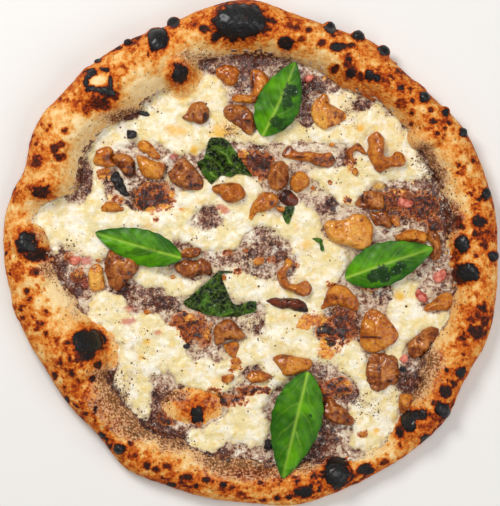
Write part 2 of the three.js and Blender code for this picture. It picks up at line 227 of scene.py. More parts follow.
# The rim, one row for each 10 degrees from +X towards +Y: how far the crust reaches, where
# its inner wall meets the toppings, and how high its crest stands.
RIM = (
    (158.7, 125, 20), (159.3, 128, 20), (158.5, 128, 21),
    (158.5, 125, 22), (154.0, 128, 23), (152.3, 126, 24),
    (156.0, 121, 25), (153.5, 125, 24), (156.0, 126, 23),
    (162.2, 127, 24), (159.5, 128, 24), (155.0, 122, 24),
    (156.8, 117, 26), (157.4, 117, 27), (157.8, 121, 26),
    (159.2, 122, 25), (154.0, 118, 23), (158.6, 138, 14),
    (158.0, 127, 18), (155.5, 119, 20), (153.3, 112, 21),
    (150.6, 114, 23), (151.5, 119, 21), (151.9, 125, 17),
    (159.4, 128, 16), (158.4, 127, 17), (159.3, 130, 16),
    (160.5, 133, 15), (164.2, 137, 14), (163.2, 140, 14),
    (163.0, 148, 13), (164.2, 144, 14), (164.6, 138, 16),
    (159.6, 128, 19), (161.9, 131, 18), (160.2, 132, 18),
)

# Bubbles blown in the dough: middle, half widths and rise.
BUBBLES = (
    (-7, 147, 19, 13, 4.5), (-60, 136, 7.5, 9, 3.5), (-44, 112, 13, 12.5, 7.5), (-97, 107, 16, 13, 3.5),
    (-142, 8, 14, 12, 5), (-105, -61, 21, 19, 6), (-137, -16, 10, 8, 2), (-37, -98, 19, 12, 4.5),
    (55, -141, 10, 10, 3.5), (106, -111, 13, 10.5, 3.5), (123, -101, 5.5, 5.5, 2.5),
    (139, -13, 9, 8.5, 3.5), (135, 6, 7, 7.5, 3), (112, 73, 12, 7, 5), (77, 111, 7, 6.5, 2.5),
    (-132, 41, 10, 8, 2.5), (-44, 114, 5, 5, 0.8), (60, 122, 7, 6, 1.2), (63, 115, 5, 5, 1),
    (-72, 128, 8, 6, 1.5), (-125, 66, 9, 9, 1.6), (-136, 58, 6, 7, 1.2), (30, 140, 10, 6, 1.5),
    (95, 97, 6, 6, 1.2), (131, 62, 9, 8, 2), (148, 20, 6, 6, 1.6), (-104, -96, 9, 7, 1.6),
    (-80, -122, 7, 5, 1.5), (-60, -134, 9, 6, 1.4), (-22, -146, 12, 6, 1.5), (20, -150, 9, 5, 1.3),
    (86, -131, 9, 6, 1.4), (142, -48, 8, 8, 1.8), (135, -76, 6, 6, 1.5), (-150, -36, 6, 9, 1.5),
    (-128, -48, 8, 7, 1.3), (-128, 88, 8, 8, 1.3), (-85, 96, 7, 5, 1.2), (110, 108, 6, 6, 1.2),
    (-20, 128, 8, 5, 1.2), (8, 136, 7, 5, 1.1), (-148, 40, 6, 8, 1.3), (-108, 78, 7, 9, 1.4),
)

# Bubbles that lie bare, with no cream on them: middle, half widths, strength.
BARE = (
    (-44, 112, 13, 12.5, 1), (-105, -61, 21, 19, 1), (-37, -98, 18, 11, 1), (-97, 107, 15, 12, 1),
)

# Black beads blown out of the edge: middle, radius.
EDGE_BEADS = (
    (51, 145, 3.6), (69, 138.5, 4), (86, 129.5, 4), (-49, 147.5, 4), (150, 38, 3.6), (155.6, -2, 3.4),
    (111, 99, 3.4), (-84, -125, 3.8), (95, 123, 2.4), (-78, 134, 2.5), (125, 91, 2.8), (136, 77, 2.8),
)

# Charred places on the crust: middle, half widths, strength.
CHAR = (
    (-6, 147.5, 17, 12, 1.35), (-21, 138, 4, 3, 1), (-29, 142, 3.5, 3, 0.95), (-35, 146, 4, 3, 0.7),
    (-58.5, 136.5, 6.5, 8.5, 1.3), (-50, 147, 4.5, 3, 1.2), (-73, 138, 5, 2.5, 0.85),
    (-45, 114, 6, 6.5, 1.02), (-133, 39, 6.5, 4.5, 0.85), (-142, 7, 7, 7.5, 1.12),
    (-136, -1, 9, 5, 0.85), (-148, -12, 6, 7, 0.5), (-103, -56.5, 10, 8.4, 1.35),
    (-103, -65, 6, 4, 0.9), (-142.5, -24.5, 2.2, 2, 0.9), (-140.5, -29, 1.8, 1.6, 0.85),
    (-130, -37, 2.2, 1.6, 0.85), (-132.5, -44.5, 2.4, 2, 0.9), (-145, -41, 1.6, 2.2, 0.8),
    (-130, -51, 1.7, 1.6, 0.8), (-146, -35, 1.6, 3, 0.8), (-97, -71, 2.6, 2.6, 0.95),
    (-101, -80, 3, 2.4, 0.9), (-113, -77, 2.4, 2.4, 0.9), (-116, -57, 2.2, 2, 0.85),
    (-124.5, -77.5, 2, 3, 0.9), (-118, -85, 2, 1.8, 0.85), (-110, -68, 1.8, 1.5, 0.85),
    (-114.5, -66, 1.3, 2.6, 0.8), (-120, -68, 1.4, 2.6, 0.75), (-83.5, -125, 4.5, 3, 1.3),
    (-95, -117, 2.6, 2.6, 1.1), (-117, -94, 1.8, 3.4, 0.95), (-105, -103, 2.4, 2, 0.8),
    (-66, -136, 3.2, 2.6, 0.95), (-60, -138, 3, 2.4, 0.9), (-76, -122, 2.2, 2, 0.8),
    (-73, -129, 3, 2, 0.85), (-53, -136, 3.5, 2, 0.8), (-40, -143, 3.2, 2.6, 0.98),
    (-17, -148, 3.2, 2.2, 0.95), (-28, -145, 3, 2, 0.92), (7, -147, 2.6, 1.8, 0.85),
    (18, -157, 2.4, 2, 0.95), (25, -156, 2.2, 1.8, 0.95), (35, -153, 7, 4, 0.98),
    (-50, -148.5, 3.4, 1.8, 0.95), (-38, -150, 3, 1.6, 0.8), (-5, -154, 4, 2, 0.75),
    (8, -158, 3, 1.6, 0.8), (55, -140, 8.8, 10.5, 1.35), (74, -139, 6, 4, 0.95), (68, -148, 4, 2, 0.75),
    (86, -134, 4, 2.4, 0.85), (101, -107, 5.5, 8, 1.15), (108, -103, 7, 3.4, 1.1),
    (113, -119, 5, 4, 1.1), (96, -114, 4, 5, 0.95), (123, -101, 5.5, 5, 1.35),
    (135, -76, 3.8, 3.6, 1.1), (125, -88, 4, 4, 1), (130, -84, 3, 3, 0.85), (119, -96, 3, 2.6, 0.9),
    (135.5, 6, 5, 6, 1.3), (132, -2, 4, 4, 0.7), (139, -12.5, 6.5, 6, 1.35), (134, -14, 7, 7, 0.75),
    (146, 20, 4.5, 4.5, 1), (146, -34, 2.2, 2.2, 0.85), (150, -44, 3, 3.4, 0.88),
    (141, -42, 2.4, 2.4, 0.82), (144, -50, 5.5, 5, 0.82), (151, 14, 2, 2.2, 0.85), (147, 5, 2, 2, 0.85),
    (144, -2, 1.8, 1.8, 0.8), (150.5, 38, 3.6, 3.6, 1.3), (155.6, -2, 3.6, 3.6, 1.3),
    (136, 77, 2.9, 2.9, 1.3), (125, 90.5, 2.9, 2.9, 1.3), (111, 99, 3.8, 3.8, 1.3),
    (96, 105, 3, 2.8, 1.1), (103, 97, 1.6, 1.6, 0.9), (115, 91, 1.6, 1.6, 0.9),
    (103, 89, 1.8, 1.8, 0.95), (116, 84, 3.2, 2, 0.95), (127, 83, 2, 2, 0.9), (103, 83, 1.6, 1.6, 0.85),
    (124, 79, 1.6, 1.6, 0.85), (134, 64, 1.6, 1.6, 0.8), (142, 59, 2, 2, 0.85), (119, 76, 2, 2, 0.85),
    (97, 95, 4, 4, 0.72), (76, 112, 3.6, 3.8, 1.15), (80.5, 111, 3.4, 3.4, 1.15),
    (64, 115, 4.2, 4.2, 1), (70, 112, 3, 3, 0.85), (62, 122, 3, 5, 0.85), (54, 117, 3, 2.6, 0.9),
    (56, 131, 5.5, 3, 0.95), (65, 132, 4.2, 2.2, 0.9), (46, 133, 4, 3, 0.82), (52, 144, 4.4, 4.2, 1.3),
    (69, 138.5, 4.4, 4.2, 1.3), (86, 129.5, 4.4, 4.2, 1.3), (95, 123, 2.6, 2.6, 1.3),
    (101, 116, 2.4, 2.4, 1.1), (53, 138.5, 1.8, 1.6, 0.9), (38, 142, 2.4, 2.2, 0.88),
    (24, 133.5, 5.5, 4.2, 0.95), (25, 145, 3.4, 3, 0.82), (15, 147, 2.4, 2.4, 0.8),
    (33, 136, 3, 3, 0.75), (30, 143, 2.4, 2.6, 0.85), (-22, 137, 3, 2.8, 0.9),
    (-127, 81, 1.3, 1.3, 0.85), (-118, 78, 2.2, 2, 0.85), (-129, 78, 1.2, 1.2, 0.8),
    (-121, 98, 1.3, 1.3, 0.8), (-116, 97, 1.4, 1.4, 0.8), (-124, 66, 3, 3, 0.86),
    (-122, 61, 2.6, 2.8, 0.86), (-120, 69, 2.6, 2.4, 0.8), (-119, 61, 2.4, 2.4, 0.78),
    (-135.5, 59, 4.8, 5.6, 0.78), (-129, 36, 4, 2.6, 0.7), (-139, 42, 4, 3, 0.66),
    (145, 30, 3.6, 3.6, 0.62), (-147, -8, 3, 3, 0.6), (-137, -12, 4, 3, 0.84), (-96, 95, 10, 5, 0.7),
    (-104, 92, 5, 4, 0.72), (-87, 100, 4, 3.5, 0.8), (-60, 124, 4, 5, 0.4), (131, 20, 7, 7, 0.72),
    (146, 12, 4, 3, 0.7), (-49, 147.5, 4.2, 4.2, 1.3), (-78, 134, 2.8, 2.8, 1.2),
    (-84, 131, 3, 1.6, 0.9), (-104, 109, 2, 4, 1.25), (-100, 104, 4, 1.6, 1.25), (-94, 103, 4, 2, 1.25),
    (-88.6, 101.5, 3.4, 3, 1.3), (-88.4, 109, 1.5, 4, 1.2), (-92, 116.4, 4, 1.5, 1.15),
    (-100, 115, 3.6, 2.6, 1.25), (-103, 112, 2.6, 2.4, 1.2), (-97.5, 123, 3.6, 1.6, 1.2),
    (-34, -104, 4.4, 6, 1.3), (-28, -96, 3, 2.4, 0.62), (-41, -101, 3, 3, 0.6), (-24, -98, 2, 3, 0.7),
    (-45, -93, 1.6, 1.4, 0.75), (-36, -94, 2, 1.6, 0.6),
)

# The pale dough inside the blister that has burst: middle, half widths, strength.
TORN = ((-96.5, 109.6, 6.4, 4.2, 1.0),)

# Parts of the crust that are browner or paler than the rest: middle, half widths, strength.
TOASTED = (
    (30, 138, 60, 14, 0.08), (85, 108, 42, 26, 0.13), (120, 78, 26, 26, 0.1), (150, 0, 14, 46, 0.12),
    (140, -50, 16, 34, 0.2), (112, -108, 26, 22, 0.2), (60, -145, 40, 10, 0.12),
    (-20, -150, 46, 8, 0.12), (-66, -132, 26, 10, 0.16), (-97, 104, 18, 14, 0.24),
    (-46, 118, 13, 12, 0.22), (-122, 64, 14, 12, 0.1), (-141, 2, 12, 16, 0.08),
    (-104, -64, 20, 18, 0.32), (-134, 40, 14, 8, 0.14), (-60, 136, 18, 14, 0.12),
    (-97, 109.6, 5.4, 3, -0.5), (-5, 148, 28, 16, 0.26), (-37, -98, 20, 12, 0.4), (-25, -94, 7, 6, 0.2),
    (-45, -93, 5, 4, 0.15), (-50, -100, 5, 6, -0.15), (-43, 113, 10, 10, 0.3), (0, -140, 30, 7, 0.12),
    (-150, -10, 8, 12, -0.12), (70, 105, 30, 14, 0.12), (60, 113, 14, 6, 0.16), (80, 99, 12, 7, 0.16),
    (98, 83, 10, 8, 0.16), (34, 128, 12, 5, 0.14), (-90, -118, 24, 10, 0.12), (20, -142, 40, 6, 0.1),
    (128, -92, 16, 20, 0.1), (-80, 122, 22, 7, -0.1), (-112, 128, 20, 7, 0.12),
    (-30, 124, 26, 7, -0.14), (-118, 110, 12, 18, 0.06), (-60, 104, 14, 10, -0.2),
    (-106, 62, 6, 26, -0.14), (95, -128, 18, 6, -0.1), (-124, -28, 12, 10, -0.16),
    (70, -131, 20, 5, -0.22), (134, 40, 6, 30, -0.04), (-92, -98, 22, 14, 0.1), (130, 55, 10, 8, -0.1),
    (90, 88, 16, 6, -0.1),
)

# Truffle cream that shows, thick with dark shreds: middle, half widths, strength.
TRUFFLE = (
    (-27, 25, 9, 8, 0.9), (-28, 15, 8, 6, 0.5), (8, 6, 14, 15, 0.52), (20, -3, 10, 9, 0.5),
    (28, -15, 5, 5, 0.5), (-12, -6, 16, 6, 0.6), (-48, 7, 10, 5, 0.4), (50, 31, 10, 6, 0.95),
    (8, -50, 12, 12, 0.5), (-78, -24, 16, 6, 0.9), (-58, -33, 16, 5, 0.95), (80, -27, 12, 6, 0.38),
    (113, -8, 11, 9, 0.55), (72, 94, 9, 5, 0.9), (66, 99, 6, 4, 0.6), (97, 80, 8, 5, 0.7),
    (110, 64, 7, 9, 0.8), (120, 48, 7, 9, 0.9), (-76, -78, 7, 6, 0.6), (-58, -92, 8, 7, 0.9),
    (-62, -108, 9, 10, 0.85), (-48, -120, 14, 9, 0.85), (48, -116, 12, 14, 0.9), (0, -139, 30, 8, 1),
    (-22, -130, 16, 8, 0.8), (36, -128, 12, 12, 0.9), (66, -96, 10, 8, 0.5), (55, -88, 10, 9, 0.8),
    (-2, 112, 8, 12, 0.9), (5, 124, 16, 5, 0.8), (30, 107, 8, 16, 0.9), (42, 108, 8, 8, 0.7),
    (38, 88, 7, 12, 0.95), (-38, 126, 14, 6, 0.6), (-24, 120, 9, 6, 0.8), (-107, 45, 6, 12, 0.8),
    (-104, 66, 6, 8, 0.4), (-93, 47, 6, 12, 0.7), (-85, 86, 14, 5, 0.7), (-76, 90, 10, 4, 0.7),
    (-112, -20, 9, 9, 0.9), (-128, -10, 10, 8, 0.8), (-112, -38, 6, 6, 0.5), (-94, -78, 10, 8, 0.7),
    (-84, -92, 10, 12, 0.9), (-72, -112, 10, 10, 0.9), (-97, -97, 13, 15, 0.52),
    (-84, -112, 12, 10, 0.45), (106, -82, 14, 14, 0.85), (118, -68, 8, 10, 0.7), (96, -80, 6, 8, 0.7),
    (128, -30, 7, 9, 0.5), (0, 60, 12, 9, 0.7), (12, 62, 10, 7, 0.6), (-66, 37, 14, 9, 0.85),
    (-78, 30, 8, 5, 0.5), (-34, -48, 10, 10, 0.8), (58, -42, 10, 8, 0.95), (66, -50, 6, 7, 0.7),
    (110, 28, 24, 12, 0.95), (94, 34, 14, 10, 0.8), (126, 20, 9, 12, 0.9), (-44, 61, 12, 6, 0.4),
    (62, 60, 7, 7, 0.7), (50, 12, 7, 12, 0.25), (-6, 20, 12, 5, 0.3), (30, 70, 20, 4, 0.3),
    (0, -75, 12, 5, 0.4), (-46, -90, 10, 6, 0.6), (-10, -92, 14, 6, 0.5), (22, -90, 8, 10, 0.7),
    (8, -84, 12, 4, 0.6), (-52, -77, 8, 4, 0.3), (44, -76, 9, 5, 0.4), (70, 50, 20, 5, 0.3),
    (-130, 12, 10, 5, 0.5), (-118, 4, 10, 5, 0.4), (-105, 45, 7, 10, 0.6), (115, 55, 8, 10, 0.7),
    (-110, -20, 8, 8, 0.5), (-75, -55, 14, 14, 0.34), (80, -100, 14, 12, 0.4), (64, 92, 6, 4, 0.4),
    (-60, -74, 12, 6, 0.3), (92, 66, 10, 4, 0.3), (60, 88, 14, 8, 0.2), (-15, 80, 18, 9, 0.2),
    (-70, -62, 14, 10, 0.12),
)

# Cheese with more specks strewn over it than elsewhere: middle, half widths, strength.
STREWN = (
    (60, 88, 16, 9, 0.62), (-15, 80, 22, 10, 0.62), (-72, -62, 18, 16, 0.55), (80, -102, 18, 14, 0.62),
    (-40, 92, 14, 9, 0.3), (-52, -70, 16, 8, 0.4), (30, 40, 12, 8, 0.3), (-20, -70, 14, 8, 0.3),
    (96, -60, 12, 10, 0.35),
)

# Browned places on the cream and the cheese: middle, half widths, strength.
BROWNED = (
    (-62, 36, 12, 9, 0.86), (-68, 31, 6, 4, 0.95), (-54, 34, 5, 6, 0.8), (-60, 41, 6, 3, 0.6),
    (41, -43, 8.4, 5, 0.56), (34, -46, 4, 3.4, 0.46), (48, -49.5, 7, 4, 1.25), (51, -63, 7, 5, 0.4),
    (52, -56.5, 6, 3.4, 0.9), (59, -46, 9, 11, 0.82), (48, -66, 2, 1.6, 0.8), (-36, -48, 9, 9, 0.75),
    (-44, -44, 6, 6, 0.7), (-30, -55, 5, 6, 0.62), (5, 58, 9, 7, 0.92), (-2, 62, 5, 4, 0.75),
    (10, 52, 5, 5, 0.85), (98, 38, 5, 3.5, 0.55), (108, 30, 12, 8, 0.85), (92, 34, 8, 6, 0.78),
    (118, 18, 5, 5, 1), (-35, -97, 15, 9, 0.56), (-25, -93, 8, 6, 0.62), (-44, -100, 8, 7, 0.5),
    (-34, -104, 4.5, 6, 1.15), (-12, -95, 10, 4, 0.7), (2, -88, 10, 3, 0.72), (-52, -105, 6, 5, 0.8),
    (58, -86, 8, 6, 0.72), (48, -90, 6, 8, 0.7), (52, 16, 3, 2, 0.4), (-85, 34, 4, 3, 0.45),
    (-94, 50, 4, 4, 0.45), (14, -4, 3, 2.5, 0.5), (-60, 22, 2, 2, 0.4), (73, -116, 3.5, 2.5, 0.55),
    (-9, -73, 5, 4, 0.45), (62, 34, 3, 3, 0.5), (-14, 0, 3, 2.4, 0.5), (-8, -12, 3, 2, 0.6),
    (28, -8, 3, 2, 0.5), (64, 58, 4, 3, 0.5), (-116, -2, 4, 3, 0.5), (-110, -14, 4, 4, 0.6),
    (78, -22, 6, 3, 0.5), (52, -20, 4, 3, 0.4),
)

# Crisp orange places among the browned ones: middle, half widths, strength.
CRISP = (
    (41, -43, 8, 5, 1), (34.5, -46, 4, 3, 1), (50, -64.5, 5.4, 4.2, 1), (47, -58, 3, 5, 0.7),
    (-93, 50.5, 5, 3, 0.9), (-66, 44, 3, 3, 0.6), (-55, 30, 5, 2.4, 0.7), (-50, 38, 2.6, 4, 0.7),
    (-64, 28, 4, 2, 0.7), (-38, -42, 6, 3, 0.6), (-28, -52, 3, 5, 0.6), (-46, -94, 8, 5, 0.7),
    (-26, -92, 6, 4, 0.8), (96, 39, 4, 2.6, 0.8), (62, -84, 5, 3, 0.5), (-5, 64, 4, 2.4, 0.8),
    (-44, 28, 3, 2, 0.6), (64, 54, 3, 3, 0.6), (-110, -14, 3, 3, 0.6), (-8.6, -73, 3, 3, 0.6),
)

# Oily yellow places in the cheese: middle, half widths, strength.
YELLOW = (
    (-36, 66, 4, 4, 1), (-65, 18, 7, 4, 0.6), (71, 80, 4, 3.4, 1), (83, 43, 6, 3.6, 0.8),
    (96, -28, 4.4, 4.4, 1), (36, 5, 7, 6, 0.7), (-66, -57, 3.4, 3.2, 1), (-70, -67, 3, 2.6, 0.8),
    (-33, 33, 8, 4, 0.5), (-42, 27, 4, 4, 0.6), (81, -114, 3, 3, 0.9), (30, 16, 4, 6, 0.5),
    (-50, 80, 9, 5, 0.5), (-92, 72, 6, 3, 0.4), (22, -42, 9, 6, 0.5), (4, 46, 6, 4, 0.4),
    (60, 44, 8, 6, 0.35), (-40, -78, 9, 5, 0.4), (-22, -82, 6, 4, 0.6), (18, -24, 5, 4, 0.5),
    (-7, -63, 6, 6, 0.3), (56, 78, 6, 4, 0.4), (-20, 76, 8, 3, 0.5), (44, -8, 6, 10, 0.3),
    (-100, 12, 12, 6, 0.25), (-15, 80, 14, 7, 0.75), (-45, 77, 13, 6, 0.5), (60, 88, 9, 6, 0.45),
    (38, 48, 9, 6, 0.35), (-70, 8, 14, 5, 0.3),
)

# Pink smears of ham under the cheese: middle, half widths, strength.
PINK = (
    (-78, -36, 8, 4, 0.7), (-78, -44, 8, 3.4, 0.95), (-59, -51, 4, 3, 0.8), (-113, -5, 5, 3, 0.8),
    (-105, -5, 5, 5, 0.9), (-106, -19, 4, 5, 0.9), (-49, 62, 5, 4, 0.8), (-16, 27, 5, 4, 0.8),
    (100, 32, 8, 6, 0.8), (122, -15, 8, 5, 0.9), (110, -28, 7, 4, 0.7), (37, 112, 5, 4, 0.8),
    (-5, 63, 4, 4, 0.6), (-36, 62, 6, 3, 0.5), (-88, -30, 5, 3, 0.4), (-20, 30, 5, 3, 0.6),
)

# Cheese that the solid's coarse outline leaves out, or has too much of.
CHEESE_MORE = (
    (-98, 34, 9, 11, 0.6), (-12, 96, 6, 6, 0.3), (-86, 72, 10, 5, 0.4), (30, 56, 9, 4, 0.5),
    (52, 48, 9, 8, 0.4), (70, 44, 12, 7, 0.4), (-52, 44, 5, 4, 0.3), (-26, -62, 6, 6, 0.3),
    (28, -50, 9, 9, 0.4), (-20, -34, 8, 3, 0.3), (66, -74, 9, 9, 0.3), (20, 86, 5, 4, 0.3),
    (-122, 22, 14, 9, 0.3), (-80, -56, 12, 12, 0.2), (92, -20, 8, 6, 0.4), (118, -40, 10, 5, 0.3),
    (76, 22, 5, 6, 0.3), (100, 58, 10, 8, 0.3), (60, 84, 14, 8, 0.3),
)
CHEESE_LESS = (
    (-28, 22, 8, 7, 0.9), (-95, 48, 4, 8, 0.5), (38, 86, 6, 12, 0.6), (70, 95, 9, 4, 0.6),
    (8, 5, 10, 9, 0.5), (-80, -23, 14, 4, 0.8), (-62, -31, 12, 3, 0.8), (108, 66, 5, 6, 0.5),
    (52, -48, 9, 10, 0.9), (-36, -48, 10, 9, 0.8), (2, 60, 10, 9, 0.7), (50, -88, 9, 10, 0.8),
    (-36, -98, 17, 9, 1), (110, 28, 22, 12, 0.9), (58, 60, 5, 6, 0.5), (-66, 36, 13, 9, 0.9),
    (20, -90, 8, 6, 0.5), (-6, -90, 9, 3, 0.4),
)


# ---------------------------------------------------------------- the dough's own shape


@dataclass(frozen=True)
class Section:
    """The rim cut at each of many azimuths, as arrays in millimetres."""

    reach: Array
    foot: Array
    crest: Array

    @property
    def ridge(self) -> Array:
        """Radius of the crest."""
        return self.foot + 0.55 * (self.reach - self.foot)

    @property
    def belly(self) -> Array:
        """Height of the widest place."""
        return 0.42 * self.crest

    def share(self, radius: Array) -> Array:
        """How far along from foot to reach each radius is, from 0 to 1."""
        return (radius - self.foot) / (self.reach - self.foot)


@dataclass(frozen=True)
class DoughShape:
    """The form of the baked dough, from its base thickness and the rim's rows."""

    top: float = 4.5
    rim: Rows = RIM
    bubbles: Rows = BUBBLES

    def section(self, azimuth: Array) -> Section:
        """The rim's section, on smooth closed curves through its rows.

        Args:
            azimuth: angles in radians from +X towards +Y.

        Returns:
            The section at each of them.
        """
        rows = np.array(self.rim, dtype=float)
        turns = (azimuth / (2.0 * math.pi) * len(rows)) % len(rows)
        first = np.floor(turns).astype(int)
        four = (rows[(first + step) % len(rows)] for step in (-1, 0, 1, 2))
        curve = through(*four, (turns - first)[..., None])
        return Section(curve[..., 0], curve[..., 1], curve[..., 2])

    def at(self, x: Array, y: Array) -> Section:
        """The section of the rim nearest each place."""
        return self.section(np.arctan2(y, x))

    def beyond(self, x: Array, y: Array) -> Array:
        """How far each place lies outside the foot of the inner wall, in millimetres."""
        return np.hypot(x, y) - self.at(x, y).foot

    def wall(self, section: Section, share: Array) -> Array:
        """Height of the inner wall at a share of the way from foot to crest."""
        rise = np.clip(1.0 - (1.0 - share) ** 2, 0.0, 1.0) ** 0.75
        return self.top + (section.crest - self.top) * rise

    def blisters(self, x: Array, y: Array) -> Array:
        """Rise of the bubbles at each place.

        Args:
            x: places along X, in millimetres.
            y: places along Y.

        Returns:
            The rise, in millimetres.
        """
        total = np.zeros_like(x, dtype=float)
        wander = 0.10 * cloud(x, y, 9.0, 5)
        for middle_x, middle_y, half_x, half_y, rise in self.bubbles:
            distance = np.hypot((x - middle_x) / half_x, (y - middle_y) / half_y) + wander
            cap = np.clip(1.0 - distance**2, 0.0, 1.0) ** 0.8
            total = np.maximum(total, rise * cap) + 0.25 * np.minimum(total, rise * cap)
        return total

    def height(self, x: Array, y: Array) -> Array:
        """Height of the dough's top at each place, with its bubbles.

        Args:
            x: places along X, in millimetres.
            y: places along Y.

        Returns:
            The height, in millimetres.
        """
        radius = np.hypot(x, y)
        section = self.at(x, y)
        share = (radius - section.foot) / (section.ridge - section.foot)
        inner = self.wall(section, np.clip(share, 0.0, 1.0))
        out = np.clip((radius - section.ridge) / (section.reach - section.ridge), 0.0, 1.0)
        outer = section.belly + (section.crest - section.belly) * np.sqrt(1.0 - out**2)
        return np.where(radius <= section.ridge, inner, outer) + self.blisters(x, y)


DOUGH = DoughShape()


# ---------------------------------------------------------------- shader graphs


def colour(code: str) -> tuple[float, float, float, float]:
    """A linear colour from a display colour.

    Args:
        code: six hexadecimal digits.

    Returns:
        Red, green, blue and 1.
    """
    parts = (int(code[i:i + 2], 16) / 255.0 for i in (0, 2, 4))
    linear = (p / 12.92 if p <= 0.04045 else ((p + 0.055) / 1.055) ** 2.4 for p in parts)
    return (*linear, 1.0)


def arithmetic(operation: str, reflected: bool = False) -> Callable[["Wire", object], "Wire"]:
    """A method of Wire that adds a Math node.

    Args:
        operation: the node's operation.
        reflected: whether the wire is the second value.

    Returns:
        The method.
    """
    def method(wire: "Wire", other: object) -> "Wire":
        """Adds the node."""
        left, right = (other, wire) if reflected else (wire, other)
        node = wire.graph.node("Math", {"operation": operation}, {0: left, 1: right})
        return Wire(wire.graph, node.outputs[0])
    return method


class Wire:
    """An output of a shader node that can be used in arithmetic."""

    __add__, __radd__ = arithmetic("ADD"), arithmetic("ADD", True)
    __sub__, __rsub__ = arithmetic("SUBTRACT"), arithmetic("SUBTRACT", True)
    __mul__, __rmul__ = arithmetic("MULTIPLY"), arithmetic("MULTIPLY", True)
    __lt__, __gt__ = arithmetic("LESS_THAN"), arithmetic("LESS_THAN", True)
    larger = arithmetic("MAXIMUM")

    def __init__(self, graph: "Graph", socket: bpy.types.NodeSocket) -> None:
        """Keeps the graph and the socket."""
        self.graph = graph
        self.socket = socket

    def step(self, low: float, high: float) -> "Wire":
        """Soft rise from 0 at low to 1 at high."""
        node = self.graph.node("MapRange", {"interpolation_type": "SMOOTHSTEP"},
                               {"Value": self, "From Min": low, "From Max": high})
        return Wire(self.graph, node.outputs["Result"])


